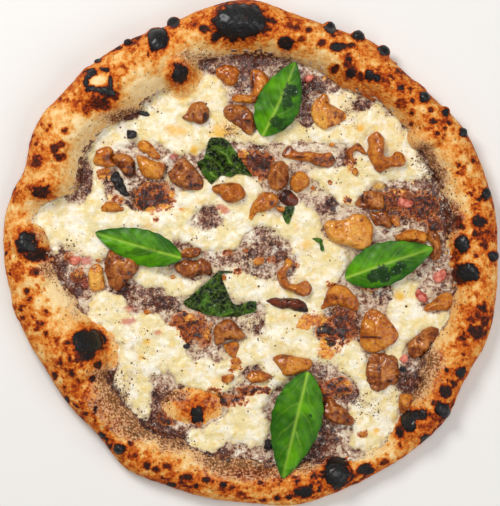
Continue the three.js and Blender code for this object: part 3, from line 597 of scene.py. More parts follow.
class Graph:
    """A material and the nodes in it."""

    def __init__(self, name: str) -> None:
        """Makes a material with a Principled shader.

        Args:
            name: the material's name.
        """
        self.material = bpy.data.materials.new(name)
        self.material.use_nodes = True
        self.tree = self.material.node_tree
        self.tree.nodes.clear()
        self.shader = self.node("BsdfPrincipled")
        self.node("OutputMaterial", {}, {"Surface": self.shader.outputs["BSDF"]})
        self.places = self.node("TexCoord").outputs["Object"]

    def node(self, kind: str, settings: dict | None = None,
             sockets: dict | None = None) -> bpy.types.Node:
        """Adds a node.

        Args:
            kind: its type, without the leading ShaderNode.
            settings: its own settings, or a colour ramp's stops under "stops".
            sockets: values, sockets or wires for its inputs, by name or number.

        Returns:
            The node.
        """
        node = self.tree.nodes.new("ShaderNode" + kind)
        for key, value in (settings or {}).items():
            if key == "stops":
                self._stops(node.color_ramp, value)
            else:
                setattr(node, key, value)
        for key, value in (sockets or {}).items():
            self.feed(node.inputs[key], value)
        return node

    def feed(self, socket: bpy.types.NodeSocket, value: object) -> None:
        """Sets or links an input.

        Args:
            socket: the input.
            value: a number, a colour, a socket or a wire.
        """
        if isinstance(value, Wire):
            value = value.socket
        if isinstance(value, bpy.types.NodeSocket):
            self.tree.links.new(value, socket)
        else:
            socket.default_value = value

    @staticmethod
    def _stops(ramp: bpy.types.ColorRamp, stops: Sequence[tuple[float, str]]) -> None:
        """Gives a ramp its stops.

        Args:
            ramp: the colour ramp.
            stops: place and display colour of each.
        """
        while len(ramp.elements) > 1:
            ramp.elements.remove(ramp.elements[-1])
        for index, (place, code) in enumerate(stops):
            element = ramp.elements[0] if index == 0 else ramp.elements.new(place)
            element.position = place
            element.color = colour(code)

    def attribute(self, name: str) -> Wire:
        """A number painted on the mesh."""
        node = self.node("Attribute", {"attribute_name": name})
        return Wire(self, node.outputs["Fac"])

    def noise(self, size: float, detail: float = 3.0, roughness: float = 0.6,
              distortion: float = 0.0) -> Wire:
        """Noise from 0 to 1.

        Args:
            size: width of its lumps, in millimetres.
            detail: how many finer layers it has.
            roughness: how strong these are.
            distortion: how far it is warped.

        Returns:
            The noise.
        """
        node = self.node("TexNoise", {}, {
            "Vector": self.places, "Scale": 1.0 / (size * MM), "Detail": detail,
            "Roughness": roughness, "Distortion": distortion,
        })
        return Wire(self, node.outputs["Fac"])

    def specks(self, size: float, density: object, seed: float = 0.0) -> Wire:
        """Specks of uneven size, 1 inside one.

        Args:
            size: spacing of the places where one may lie, in millimetres.
            density: share of those places that have one.
            seed: shifts the pattern.

        Returns:
            The mask.
        """
        shift = self.node("Mapping", {}, {"Vector": self.places,
                                          "Location": (seed * MM, 2 * seed * MM, 3 * seed * MM)})
        cells = self.node("TexVoronoi", {"feature": "F1"}, {
            "Vector": shift.outputs["Vector"], "Scale": 1.0 / (size * MM), "Randomness": 1.0,
        })
        draw = self.node("SeparateColor", {}, {"Color": cells.outputs["Color"]})
        radius = 0.18 + 0.34 * Wire(self, draw.outputs["Green"])
        wander = self.noise(0.5 * size, 2.0) * 0.35 - 0.17
        inside = (radius - (Wire(self, cells.outputs["Distance"]) + wander)).step(-0.05, 0.08)
        return inside * (Wire(self, draw.outputs["Red"]) < density)

    def ramp(self, value: Wire, stops: Sequence[tuple[float, str]]) -> bpy.types.NodeSocket:
        """Colours along a value."""
        node = self.node("ValToRGB", {"stops": stops}, {"Fac": value})
        return node.outputs["Color"]

    def mix(self, low: object, high: object, share: object) -> bpy.types.NodeSocket:
        """Two colours mixed by a share."""
        node = self.node("Mix", {"data_type": "RGBA"}, {0: share, 6: low, 7: high})
        return node.outputs[2]

    @staticmethod
    def flesh(weight: float, *reach: float) -> dict:
        """Values for light that wanders inside, with its reach in metres for each colour."""
        return {"Subsurface Weight": weight, "Subsurface Radius": reach, "Subsurface Scale": 1.0}

    def dress(self, base: object, roughness: object, bump: Wire, depth: float,
              extras: dict | None = None) -> bpy.types.Material:
        """Feeds the shader.

        Args:
            base: colour.
            roughness: number or wire.
            bump: height of the fine relief, from 0 to 1.
            depth: what a height of 1 stands for, in millimetres.
            extras: other values of the shader's sockets.

        Returns:
            The material.
        """
        relief = self.node("Bump", {}, {"Strength": 1.0, "Distance": depth * MM, "Height": bump})
        values = {"Base Color": base, "Roughness": roughness, "Normal": relief.outputs["Normal"],
                  "Specular IOR Level": 0.3, **(extras or {})}
        for key, value in values.items():
            self.feed(self.shader.inputs[key], value)
        return self.material


@dataclass(frozen=True)
class CrustFinish:
    """Baked dough: pale where the fire passed it by, golden, brown, and black in spots."""

    name: str = "baked crust"
    bakes: tuple = (
        (0.00, "f3d6a0"), (0.16, "ebb86e"), (0.30, "de8e38"), (0.42, "cc6612"),
        (0.54, "a83e00"), (0.66, "681e00"), (0.78, "371506"), (0.90, "170d0b"), (1.0, "0b0a0b"),
    )
    speck_colour: str = "380c00"
    soils: tuple = (
        (0.06, "300800"), (0.26, "6c2804"), (0.42, "a8663e"), (0.60, "cf9f78"), (1.0, "e2bc94"),
    )

    def make(self) -> bpy.types.Material:
        """Builds the material.

        Returns:
            The material.
        """
        graph = Graph(self.name)
        coarse = graph.noise(4.0, 5.0, 0.7) - 0.5
        fine = graph.noise(1.7, 4.0, 0.65) - 0.5
        grit = graph.noise(2.8, 6.0, 0.75) - 0.5
        rough = graph.attribute("mottle")
        painted = graph.attribute("bake")
        bake = painted + (coarse * 0.55 + fine * 0.55 + grit * 0.3) * rough
        crust = graph.ramp(bake, self.bakes)
        smear = graph.attribute("truffle") * (1.0 - painted.step(0.5, 0.85))
        crumbly = graph.noise(1.5, 5.0, 0.75) - 0.5
        soil = graph.ramp(0.58 + crumbly * 3.8 - (smear - 0.5) * 0.6, self.soils)
        creamy = graph.mix(crust, soil, (smear + grit * 1.6).step(0.22, 0.75) * 0.85)
        pinholes = graph.specks(1.7, 0.05 + painted.step(0.08, 0.5) * 0.2, 7.0)
        shreds = graph.specks(1.4, smear * 0.30).larger(pinholes * 0.7)
        base = graph.mix(creamy, colour(self.speck_colour), shreds * 0.8)
        roughness = 0.75 - painted.step(0.7, 1.1) * 0.37
        blistered = graph.noise(3.2, 3.0, 0.6) * painted.step(0.8, 1.1)
        relief = graph.noise(1.6, 4.0, 0.6) * 0.6 + grit * 0.5 + shreds * 0.2 + blistered * 1.6
        return graph.dress(base, roughness, relief, 0.7, {
            "Specular IOR Level": 0.22, "Coat Weight": painted.step(0.85, 1.2) * 0.3,
            "Coat Roughness": 0.16,
        })


@dataclass(frozen=True)
class ToppingFinish:
    """Truffle cream and the mozzarella melted over it, which fade into each other."""

    name: str
    gloss: float
    thin: str = "d6bf9c"
    body: str = "eddaa0"
    white: str = "fbf3df"
    yellow: str = "f0b41c"
    butter: str = "edc862"
    pink: str = "cc5a4a"
    granule: str = "300a00"
    crumb: str = "6e2c0c"
    # Colour of the painted highlights.
    highlight_colour: str = "f0e2cc"
    soils: tuple = (
        (0.06, "240600"), (0.26, "4e1e0a"), (0.44, "7e4e36"), (0.60, "a88068"),
        (0.78, "ccb196"), (1.0, "e8dac6"),
    )
    bakes: tuple = (
        (0.0, "f0b04a"), (0.20, "e28c28"), (0.36, "b24e02"), (0.50, "702600"),
        (0.64, "3a1200"), (0.86, "180d0b"),
    )
    crisps: tuple = ((0.1, "7a2c08"), (0.32, "c05a10"), (0.52, "e88e22"), (0.8, "f8c458"))

    def make(self) -> bpy.types.Material:
        """Builds the material.

        Returns:
            The material.
        """
        graph = Graph(self.name)
        middle = graph.noise(4.5, 3.0, 0.6)
        fine = graph.noise(1.7, 2.0, 0.6)
        tiny = graph.noise(1.0, 2.0, 0.6)
        grit = graph.noise(3.2, 6.0, 0.75) - 0.5
        curds = graph.noise(9.0, 4.0, 0.55, 0.5) - 0.5
        milk = graph.attribute("milk") + (middle - 0.5) * 0.8 + grit * 1.8
        truffle = graph.attribute("truffle") + (middle - 0.5) * 0.8
        soil = graph.ramp(0.56 + grit * 3.2 - (truffle - 0.4) * 0.62, self.soils)
        film = graph.mix(soil, colour(self.thin), milk.step(0.16, 0.52) * 0.92)
        body = graph.mix(film, colour(self.body), milk.step(0.42, 0.85))
        thick = (milk * 0.45 + curds * 2.2 + grit * 0.5).step(0.16, 0.80)
        rich = graph.mix(body, colour(self.white), thick)
        clouds = graph.noise(6.0, 4.0, 0.6, 0.4)
        rind = clouds.step(0.50, 0.70) * milk.step(0.35, 0.7)
        butter = graph.mix(rich, colour(self.butter), rind * 0.6)
        oily = graph.attribute("yellow") + (middle - 0.5) * 0.8
        yellowed = graph.mix(butter, colour(self.yellow), oily.step(0.15, 1.0) * 0.9)
        rosy = graph.attribute("pink") + (fine - 0.5) * 0.9
        blush = graph.mix(yellowed, colour(self.pink), rosy.step(0.35, 0.8) * 0.75)
        painted = graph.attribute("bake")
        bake = painted + ((middle - 0.5) * 0.9 + grit * 2.9) * painted.step(0.0, 0.35)
        toasted = graph.mix(blush, graph.ramp(bake, self.bakes), bake.step(0.10, 0.34))
        strewn = graph.noise(12.0, 3.0, 0.6) * 0.66 - 0.30
        golden = graph.ramp(0.5 + grit * 2.6, self.crisps)
        crisp = (graph.attribute("crisp") + (fine - 0.5) * 0.8 + grit * 1.4).step(0.28, 0.50)
        fried = graph.mix(toasted, golden, crisp * 0.92)
        crumbs = (0.20 + strewn + truffle * 0.28 - tiny).step(-0.03, 0.05)
        warm = graph.mix(fried, colour(self.crumb), crumbs * 0.7)
        granules = (0.16 + truffle * 0.28 - fine).step(-0.03, 0.05)
        clumps = (0.15 + truffle * 0.25 - graph.noise(3.0, 3.0, 0.6)).step(-0.02, 0.05)
        dots = graph.specks(1.6, truffle * 0.12 - 0.03, 4.0)
        dark = graph.mix(warm, colour(self.granule), granules.larger(dots).larger(clumps) * 0.85)
        raw = 1.0 - bake.step(0.05, 0.3)
        # Painted highlights: small pale glints on the truffle cream where it is not browned.
        painted_highlights = (graph.noise(1.1, 2.0, 0.6) - 0.63).step(0.0, 0.05) * truffle.step(0.2, 0.7)
        base = graph.mix(dark, colour(self.highlight_colour), painted_highlights * raw * 0.5)
        relief = middle * 0.4 + fine * 0.25 + grit * 0.6 + granules * 0.15
        roughness = 0.46 - milk.step(0.3, 0.7) * self.gloss
        return graph.dress(base, roughness, relief, 1.3, {
            "Coat Weight": 0.25, "Coat Roughness": 0.08, **graph.flesh(0.06, 0.003, 0.002, 0.001),
        })


class Tone(Enum):
    """Colours of the roasted porcini, light to dark: pale flesh, skin, and browned places, whose dark
    also serves the painted shade in creases.
    """

    PALE = ("f4b450", "dc8624", "803600")
    GOLDEN = ("e4962e", "b65a06", "4e1a00")
    BROWN = ("cc7e30", "8a3e06", "300e00")
    DARK = ("84340a", "4e1600", "180600")


@dataclass(frozen=True)
class PorciniFinish:
    """Roasted mushroom, oiled, with painted shade in its folds, and edges darker from browning and
    painted shade.
    """

    tone: Tone
    freckle: str = "321405"

    def make(self) -> bpy.types.Material:
        """Builds the material.

        Returns:
            The material.
        """
        light, middle, dark = self.tone.value
        graph = Graph("porcini " + self.tone.name.lower())
        clouds = graph.noise(6.0, 4.0, 0.6, 0.6)
        streaks = graph.noise(1.6, 4.0, 0.65)
        grit = graph.noise(2.6, 6.0, 0.78) - 0.5
        uneven = (clouds - 0.5) * 0.9 + (streaks - 0.5) * 0.7 + grit * 1.1
        value = graph.attribute("shade") + uneven
        base = graph.ramp(value, ((0.0, dark), (0.40, middle), (0.90, light)))
        spotted = graph.mix(base, colour(self.freckle), graph.specks(1.7, 0.10, 3.0) * 0.6)
        relief = graph.noise(2.6, 6.0, 0.68) + streaks * 0.6
        return graph.dress(spotted, 0.42, relief, 1.5, {
            "Specular IOR Level": 0.2, "Coat Weight": 0.55, "Coat Roughness": 0.07,
            **graph.flesh(0.05, 0.003, 0.0015, 0.0008),
        })


@dataclass(frozen=True)
class BasilFinish:
    """A basil leaf, with paler veins."""

    name: str
    deep: str
    fresh: str
    vein: str
    gloss: float
    soaked: str = "0a2408"
    # Colour of the painted highlights on the wet places.
    wet_highlight: str = "a9c8a0"
    patchy: float = 0.5
    patch: float = 7.0
    depth: float = 0.2
    wrinkled: float = 0.0

    def make(self) -> bpy.types.Material:
        """Builds the material.

        Returns:
            The material.
        """
        graph = Graph(self.name)
        clouds = graph.noise(self.patch, 5.0, 0.62)
        shade = graph.attribute("shade") + (clouds - 0.5) * self.patchy
        blade = graph.mix(colour(self.deep), colour(self.fresh), shade.step(0.05, 0.95))
        base = graph.mix(blade, colour(self.vein), graph.attribute("vein"))
        wet = graph.attribute("wet")
        darker = graph.mix(base, colour(self.soaked), wet * 0.9)
        # Painted highlights: small pale glints on the wet places.
        wet_highlights = (graph.noise(1.6, 3.0, 0.6) - 0.62).step(0.0, 0.06) * wet.step(0.3, 0.8)
        lit = graph.mix(darker, colour(self.wet_highlight), wet_highlights * 0.5)
        folds = graph.noise(3.6, 4.0, 0.6) - 0.5
        lines = (0.022 - folds.larger(0.0 - folds)).step(-0.022, 0.01) * self.wrinkled
        worn = graph.mix(lit, colour(self.vein), lines)
        relief = graph.noise(0.9, 3.0, 0.6) * 0.5 + graph.noise(3.0, 2.0) * 0.5
        return graph.dress(worn, self.gloss, relief, self.depth, {
            "Specular IOR Level": 0.16, "Coat Weight": 0.05, "Coat Roughness": 0.12,
            **graph.flesh(0.04, 0.001, 0.002, 0.0005),
        })


@dataclass(frozen=True)
class PlainFinish:
    """A mottled finish between two colours."""

    name: str
    light: str
    dark: str
    size: float
    roughness: float
    depth: float = 0.4
    coat: float = 0.0

    def make(self) -> bpy.types.Material:
        """Builds the material.

        Returns:
            The material.
        """
        graph = Graph(self.name)
        clouds = graph.noise(self.size, 4.0, 0.6)
        base = graph.mix(colour(self.dark), colour(self.light), clouds.step(0.3, 0.7))
        relief = graph.noise(0.5 * self.size, 4.0, 0.6)
        return graph.dress(base, self.roughness, relief, self.depth,
                           {"Coat Weight": self.coat, "Coat Roughness": 0.25})


# ---------------------------------------------------------------- meshes under work


class Piece:
    """A mesh object under work, read and written as arrays in millimetres."""

    def __init__(self, name: str, form: bmesh.types.BMesh) -> None:
        """Makes the object.

        Args:
            name: the object's name.
            form: its mesh, in any unit so far.
        """
        mesh = bpy.data.meshes.new(name)
        form.to_mesh(mesh)
        form.free()
        self.object = bpy.data.objects.new(name, mesh)
        bpy.context.scene.collection.objects.link(self.object)

    @property
    def mesh(self) -> bpy.types.Mesh:
        """The mesh."""
        return self.object.data

    def read(self, rows: bpy.types.bpy_prop_collection, key: str) -> Array:
        """Three numbers for each vertex.

        Args:
            rows: one of the mesh's collections.
            key: what is read of each of its items.

        Returns:
            A row for each vertex.
        """
        flat = np.empty(len(self.mesh.vertices) * 3)
        rows.foreach_get(key, flat)
        return flat.reshape(-1, 3)

    def raw(self) -> Array:
        """Vertex places as they stand."""
        return self.read(self.mesh.vertices, "co")

    def points(self) -> Array:
        """Vertex places in millimetres."""
        return self.raw() / MM

    def move(self, points: Array) -> None:
        """Writes vertex places given in millimetres."""
        self.mesh.vertices.foreach_set("co", (points * MM).ravel())
        self.mesh.update()

    def normals(self) -> Array:
        """Vertex normals."""
        return self.read(self.mesh.vertex_normals, "vector")

    def lay(self, x: Array, y: Array, top: Array, under: Array) -> None:
        """Lays a sheet of two layers, the upper one at one height and the lower at another."""
        lower = self.raw()[:, 2] < -0.5
        self.move(np.column_stack((x, y, np.where(lower, under, top))))

    def paint(self, name: str, values: Array) -> None:
        """Keeps a number for each vertex under a name."""
        layer = self.mesh.attributes.new(name, "FLOAT", "POINT")
        layer.data.foreach_set("value", np.ascontiguousarray(values, dtype=np.float32))

    def done(self, material: bpy.types.Material, nodes: Sequence[str] = ()) -> None:
        """Gives the piece its material and its place on the pizza.

        Args:
            material: its finish.
            nodes: the solids that it stands for.
        """
        self.mesh.shade_smooth()
        self.mesh.materials.append(material)
        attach(self.object, BODY)
        if nodes:
            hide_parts(*nodes)
        triangles = sum(len(face.vertices) - 2 for face in self.mesh.polygons)
        log.info("%s: %d triangles", self.object.name, triangles)


def sheet_form(columns: int, rows: int, keep: Callable[[Array, Array], Array] | None = None,
               span: tuple[float, float, float, float] = (0.0, 1.0, 0.0, 1.0)) -> bmesh.types.BMesh:
    """A flat closed sheet of two layers, at z 0 and z -1.

    Args:
        columns: cells along X.
        rows: cells along Y.
        keep: says which places stay, from arrays of x and y.
        span: lowest and highest x, then lowest and highest y.

    Returns:
        The sheet.
    """
    form = bmesh.new()
    bmesh.ops.create_grid(form, x_segments=columns, y_segments=rows, size=0.5)
    low_x, high_x, low_y, high_y = span
    for vert in form.verts:
        vert.co.x = low_x + (vert.co.x + 0.5) * (high_x - low_x)
        vert.co.y = low_y + (vert.co.y + 0.5) * (high_y - low_y)
    if keep is not None:
        places = np.array([vert.co[:2] for vert in form.verts])
        stays = keep(places[:, 0], places[:, 1])
        gone = [vert for vert, stay in zip(form.verts, stays) if not stay]
        bmesh.ops.delete(form, geom=gone, context="VERTS")
        loose = [vert for vert in form.verts if not vert.link_faces]
        bmesh.ops.delete(form, geom=loose, context="VERTS")
    bmesh.ops.recalc_face_normals(form, faces=form.faces)
    if form.faces[:] and form.faces[0].normal.z < 0.0:
        bmesh.ops.reverse_faces(form, faces=form.faces)
    bmesh.ops.solidify(form, geom=form.faces[:], thickness=1.0)
    return form


def even_form(form: bmesh.types.BMesh, voxel: float, rounds: int) -> bmesh.types.BMesh:
    """Gives a closed form evenly spaced points and softens it.

    Args:
        form: the form, in metres.
        voxel: spacing of the points, in millimetres.
        rounds: how often they are smoothed.

    Returns:
        The new form, in metres.
    """
    mesh = bpy.data.meshes.new("carrier")
    form.to_mesh(mesh)
    form.free()
    carrier = bpy.data.objects.new("carrier", mesh)
    bpy.context.scene.collection.objects.link(carrier)
    remesh = carrier.modifiers.new("even", "REMESH")
    remesh.mode = "VOXEL"
    remesh.voxel_size = voxel * MM
    evaluated = carrier.evaluated_get(bpy.context.evaluated_depsgraph_get())
    form = bmesh.new()
    form.from_mesh(evaluated.to_mesh())
    evaluated.to_mesh_clear()
    bpy.data.objects.remove(carrier)
    bpy.data.meshes.remove(mesh)
    for _ in range(rounds):
        bmesh.ops.smooth_vert(form, verts=form.verts, factor=0.5, use_axis_x=True,
                              use_axis_y=True, use_axis_z=True)
    return form


def node_form(node: str, voxel: float, rounds: int) -> bmesh.types.BMesh:
    """An even, softened copy of a solid.

    Args:
        node: the solid's name.
        voxel: spacing of the points, in millimetres.
        rounds: how often they are smoothed.

    Returns:
        The copy, in metres.
    """
    form = bmesh.new()
    form.from_mesh(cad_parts[node].data)
    bmesh.ops.remove_doubles(form, verts=form.verts, dist=0.01 * MM)
    return even_form(form, voxel, rounds)


def solid_tree(node: str) -> BVHTree:
    """A solid's surface, in millimetres."""
    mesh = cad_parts[node].data
    return BVHTree.FromPolygons([vert.co / MM for vert in mesh.vertices],
                                [tuple(face.vertices) for face in mesh.polygons])


def drop(tree: BVHTree, x: float, y: float) -> Vector | None:
    """Where a ray straight down at a place first meets a surface."""
    return tree.ray_cast(Vector((x, y, SKY)), DOWN)[0]


class Ground:
    """The top of everything made so far, to lay other pieces on."""

    nudge = 0.05

    def __init__(self) -> None:
        """Starts with nothing."""
        self.trees: list[BVHTree] = []

    def add(self, piece: Piece) -> None:
        """Takes a piece's surface in."""
        verts = [tuple(place) for place in piece.points()]
        faces = [tuple(face.vertices) for face in piece.mesh.polygons]
        self.trees.append(BVHTree.FromPolygons(verts, faces))

    def height(self, x: float, y: float) -> float:
        """Highest surface at a place, in millimetres, or 0 off the pizza.

        Args:
            x: the place along X.
            y: the place along Y.

        Returns:
            The height, found a nudge aside where the ray slips between two faces.
        """
        top = 0.0
        for tree in self.trees:
            hit = drop(tree, x, y)
            if hit is None:
                hit = drop(tree, x + self.nudge, y + self.nudge)
            if hit is not None:
                top = max(top, hit.z)
        return top


# ---------------------------------------------------------------- dough, cream and cheese


@dataclass
class Crust:
    """The baked dough in one piece: flat underside, rim, and the floor under the cream."""

    steps: int = 1040
    outer_steps: int = 20
    wall_steps: int = 32
    under_steps: int = 8
    inner_steps: int = 17
    relief: float = 0.55
    cap: float = 29.2
    strong: float = 1.2
    wide: float = 5.0
    fainter: float = 0.88
    halo: float = 1.5
    shape: DoughShape = DOUGH

    def below(self, turn: float, cut: Section) -> tuple[Array, Array]:
        """Radius and height under the rim, at an angle down from its widest place."""
        inward = 0.3 * cut.crest * (1.0 - math.cos(turn))
        return cut.reach - inward, cut.belly * (1.0 - math.sin(turn))

    def outside(self, turn: float, cut: Section) -> tuple[Array, Array]:
        """Radius and height outside the crest, at an angle up from the widest place."""
        radius = cut.ridge + (cut.reach - cut.ridge) * math.cos(turn)
        return radius, cut.belly + (cut.crest - cut.belly) * math.sin(turn)

    def wall(self, share: float, cut: Section) -> tuple[Array, Array]:
        """Radius and height on the inner wall, at a share of its width."""
        radius = cut.foot + share * (cut.ridge - cut.foot)
        return radius, self.shape.wall(cut, np.full_like(radius, share))

    def flat(self, share: float, height: float, cut: Section) -> tuple[Array, Array]:
        """Radius and height on a level disc, at a share of the foot's radius."""
        return share * cut.foot, np.full_like(cut.foot, height)

    def stations(self) -> list[Station]:
        """The stations of the profile.

        Returns:
            Ways from a section to radius and height, from below upwards.
        """
        right = 0.5 * math.pi
        turns = np.linspace(right, 0.0, self.under_steps, endpoint=False)
        rises = np.linspace(0.0, right, self.outer_steps, endpoint=False)
        shares = np.linspace(1.0, 0.0, self.wall_steps)
        inner = np.linspace(0.985, 0.70, self.inner_steps)
        return [
            *[partial(self.flat, share, 0.0) for share in (0.0, 0.55, 0.9)],
            *[partial(self.below, turn) for turn in turns],
            *[partial(self.outside, rise) for rise in rises],
            *[partial(self.wall, share) for share in shares],
            *[partial(self.flat, share, self.shape.top - 0.3) for share in inner],
            *[partial(self.flat, share, self.shape.top - 1.4) for share in (0.67, 0.0)],
        ]

    def form(self, count: int) -> bmesh.types.BMesh:
        """A spun profile whose heights number its stations.

        Args:
            count: how many stations there are.

        Returns:
            The spun form, one unit wide.
        """
        form = bmesh.new()
        ends = (0, count - 1)
        chain = [form.verts.new((0.0 if i in ends else 1.0, 0.0, i)) for i in range(count)]
        edges = [form.edges.new(pair) for pair in zip(chain, chain[1:])]
        bmesh.ops.spin(form, geom=chain + edges, cent=(0, 0, 0), axis=(0, 0, 1),
                       angle=2.0 * math.pi, steps=self.steps, use_merge=True)
        bmesh.ops.remove_doubles(form, verts=form.verts, dist=1e-5)
        return form

    def bake(self, points: Array, up: Array) -> Array:
        """How far each place is baked, from 0 for pale to 1 for black.

        Args:
            points: places on the dough.
            up: how far each faces up, from -1 to 1.

        Returns:
            The bake.
        """
        x, y, z = points.T
        share = self.shape.at(x, y).share(np.hypot(x, y))
        bake = 0.09 + 0.18 * smoothstep(0.15, 0.75, share) + 0.05 * smoothstep(0.85, 1.0, share)
        toasted = glow(x, y, TOASTED)
        bake += toasted
        wide = cloud(x, y, 13.0, 21, z)
        middle = cloud(x, y, 5.0, 33, z)
        fine = cloud(x, y, 2.2, 47, z, 2)
        rimmed = smoothstep(0.08, 0.45, share)
        bake += rimmed * (0.12 * wide + 0.15 * middle) + 0.08 * fine
        patches = smoothstep(0.15, 0.6, cloud(x, y, 6.5, 67, z))
        bake += 1.2 * rimmed * patches * np.clip(toasted, 0.03, 0.3)
        freckles = smoothstep(0.35, 0.75, cloud(x, y, 3.4, 61, z, 2)) * smoothstep(-0.3, 0.5, wide)
        bake += 0.36 * rimmed * freckles
        floor = 0.34 + 0.22 * wide + 0.35 * smoothstep(0.3, 0.7, cloud(x, y, 7.0, 71))
        bake = np.where(up < -0.5, floor, bake)
        burns = np.array(CHAR, dtype=float)
        faint = (burns[:, 4] <= self.strong) & (burns[:, 2] <= self.wide)
        around = burns * (1.0, 1.0, self.halo, self.halo, 1.0)
        around[:, 4] = np.minimum(around[:, 4], 1.0)
        burns[faint, 4] *= self.fainter
        char = spots(x, y, burns, 83, 0.36, 0.36)
        halo = spots(x, y, around, 91, 0.35, 0.5)
        seen = smoothstep(-0.2, 0.2, up)
        torn = np.clip(1.4 * glow(x, y, TORN), 0.0, 1.0)
        bake = np.maximum(bake, seen * halo * 0.52) * (1.0 - torn)
        return np.maximum(bake, seen * char)

    def build(self, material: bpy.types.Material) -> Piece:
        """Makes the piece.

        Args:
            material: its finish.

        Returns:
            The piece.
        """
        stations = self.stations()
        piece = Piece("dough_crust", self.form(len(stations)))
        raw = piece.raw()
        azimuth = np.arctan2(raw[:, 1], raw[:, 0])
        index = np.rint(raw[:, 2]).astype(int)
        cut = self.shape.section(azimuth)
        radius = np.zeros(len(raw))
        height = np.zeros(len(raw))
        for number, place in enumerate(stations):
            chosen = index == number
            part = Section(cut.reach[chosen], cut.foot[chosen], cut.crest[chosen])
            radius[chosen], height[chosen] = place(part)
        points = np.column_stack((radius * np.cos(azimuth), radius * np.sin(azimuth), height))
        piece.move(points)
        self.turn_out(piece)
        normals = piece.normals()
        x, y, z = points.T
        upper = smoothstep(-0.3, 0.3, normals[:, 2]) * (radius > 0.69 * cut.foot)
        push = upper * self.shape.blisters(x, y)
        wet_highlights = np.array(EDGE_BEADS, dtype=float)
        levels = self.shape.height(wet_highlights[:, 0], wet_highlights[:, 1])
        for (bead_x, bead_y, size), level in zip(wet_highlights, levels):
            distance = np.linalg.norm(points - (bead_x, bead_y, level), axis=1) / (1.15 * size)
            push = push + size * np.clip(1.0 - distance**2, 0.0, 1.0) ** 0.6
        wrinkle = 0.6 * cloud(x, y, 7.0, 3, z) + 0.4 * cloud(x, y, 2.6, 9, z)
        push = push + self.relief * upper * wrinkle
        points = points + normals * push[:, None]
        over = np.maximum(points[:, 2] - self.cap, 0.0)
        points[:, 2] = np.maximum(points[:, 2] - 0.7 * over, 0.0)
        piece.move(points)
        bake = self.bake(points, piece.normals()[:, 2])
        piece.paint("bake", bake)
        piece.paint("truffle", self.smear(points))
        piece.paint("mottle", 0.7 + 0.6 * smoothstep(0.15, 0.45, bake))
        piece.done(material, ["dough"])
        return piece

    def smear(self, points: Array) -> Array:
        """Truffle cream smeared on the inner wall.

        Args:
            points: places on the dough.

        Returns:
            How much of it shows, from 0 to 1.
        """
        x, y, _ = points.T
        share = self.shape.at(x, y).share(np.hypot(x, y))
        ring = 1.0 - smoothstep(0.02, 0.38, share + 0.12 * cloud(x, y, 8.0, 15))
        patchy = 0.5 + 0.9 * cloud(x, y, 7.0, 19)
        return np.clip(ring * 0.24 * patchy + 1.1 * glow(x, y, TRUFFLE) * (share < 0.7), 0.0, 1.0)

    @staticmethod
    def turn_out(piece: Piece) -> None:
        """Points the faces outwards.

        Args:
            piece: the piece whose faces they are.
        """
        form = bmesh.new()
        form.from_mesh(piece.mesh)
        bmesh.ops.recalc_face_normals(form, faces=form.faces)
        form.to_mesh(piece.mesh)
        form.free()
        piece.mesh.update()


def cream_height(x: Array, y: Array) -> Array:
    """Height of the cream's top.

    Args:
        x: places along X, in millimetres.
        y: places along Y.

    Returns:
        The height, in millimetres.
    """
    beyond = np.clip(DOUGH.beyond(x, y), 0.0, 9.0)
    lumps = 0.30 * cloud(x, y, 8.0, 101) + 0.26 * cloud(x, y, 3.0, 103)
    crumbly = np.clip(glow(x, y, TRUFFLE), 0.0, 1.0) * (0.5 + 0.5 * cloud(x, y, 2.2, 105))
    crisp = spots(x, y, BROWNED, 107) * (0.9 + 0.7 * cloud(x, y, 3.4, 109))
    bare = 3.4 * spots(x, y, BARE, 111, 0.15, 0.15)
    heaped = lumps + 0.4 * crumbly + 0.8 * crisp
    return DOUGH.height(x, y) + 0.25 - 0.14 * beyond + heaped - bare


@dataclass
class CheeseCover:
    """Where the melted cheese lies, from its solid, with softer and more ragged edges."""

    probe: float = 2.0
    soft: float = 2.6
    half: float = 150.0
    grid: Array = field(init=False)

    def __post_init__(self) -> None:
        """Looks down on the solid from a grid of places."""
        tree = solid_tree("cheese")
        axis = np.linspace(-self.half, self.half, int(2 * self.half / self.probe) + 1)
        seen = [[drop(tree, x, y) is not None for x in axis] for y in axis]
        self.grid = blur(np.array(seen, dtype=float), self.soft / self.probe)

    def at(self, x: Array, y: Array) -> Array:
        """How much cheese lies at each place.

        Args:
            x: places along X, in millimetres.
            y: places along Y.

        Returns:
            About 1 in the middle of a pool and 0 beside it.
        """
        last = self.grid.shape[0] - 1.001
        across = np.clip((x + self.half) / self.probe, 0.0, last)
        along = np.clip((y + self.half) / self.probe, 0.0, last)
        column, row = np.floor(across).astype(int), np.floor(along).astype(int)
        right, up = across - column, along - row
        low = self.grid[row, column] * (1 - right) + self.grid[row, column + 1] * right
        high = self.grid[row + 1, column] * (1 - right) + self.grid[row + 1, column + 1] * right
        cover = low * (1 - up) + high * up
        cover += 0.7 * glow(x, y, CHEESE_MORE) - 0.6 * glow(x, y, CHEESE_LESS)
        ragged = 0.17 * cloud(x, y, 7.5, 131) + 0.12 * cloud(x, y, 2.8, 133)
        return (cover + ragged) * (1.0 - smoothstep(1.0, 5.0, DOUGH.beyond(x, y)))


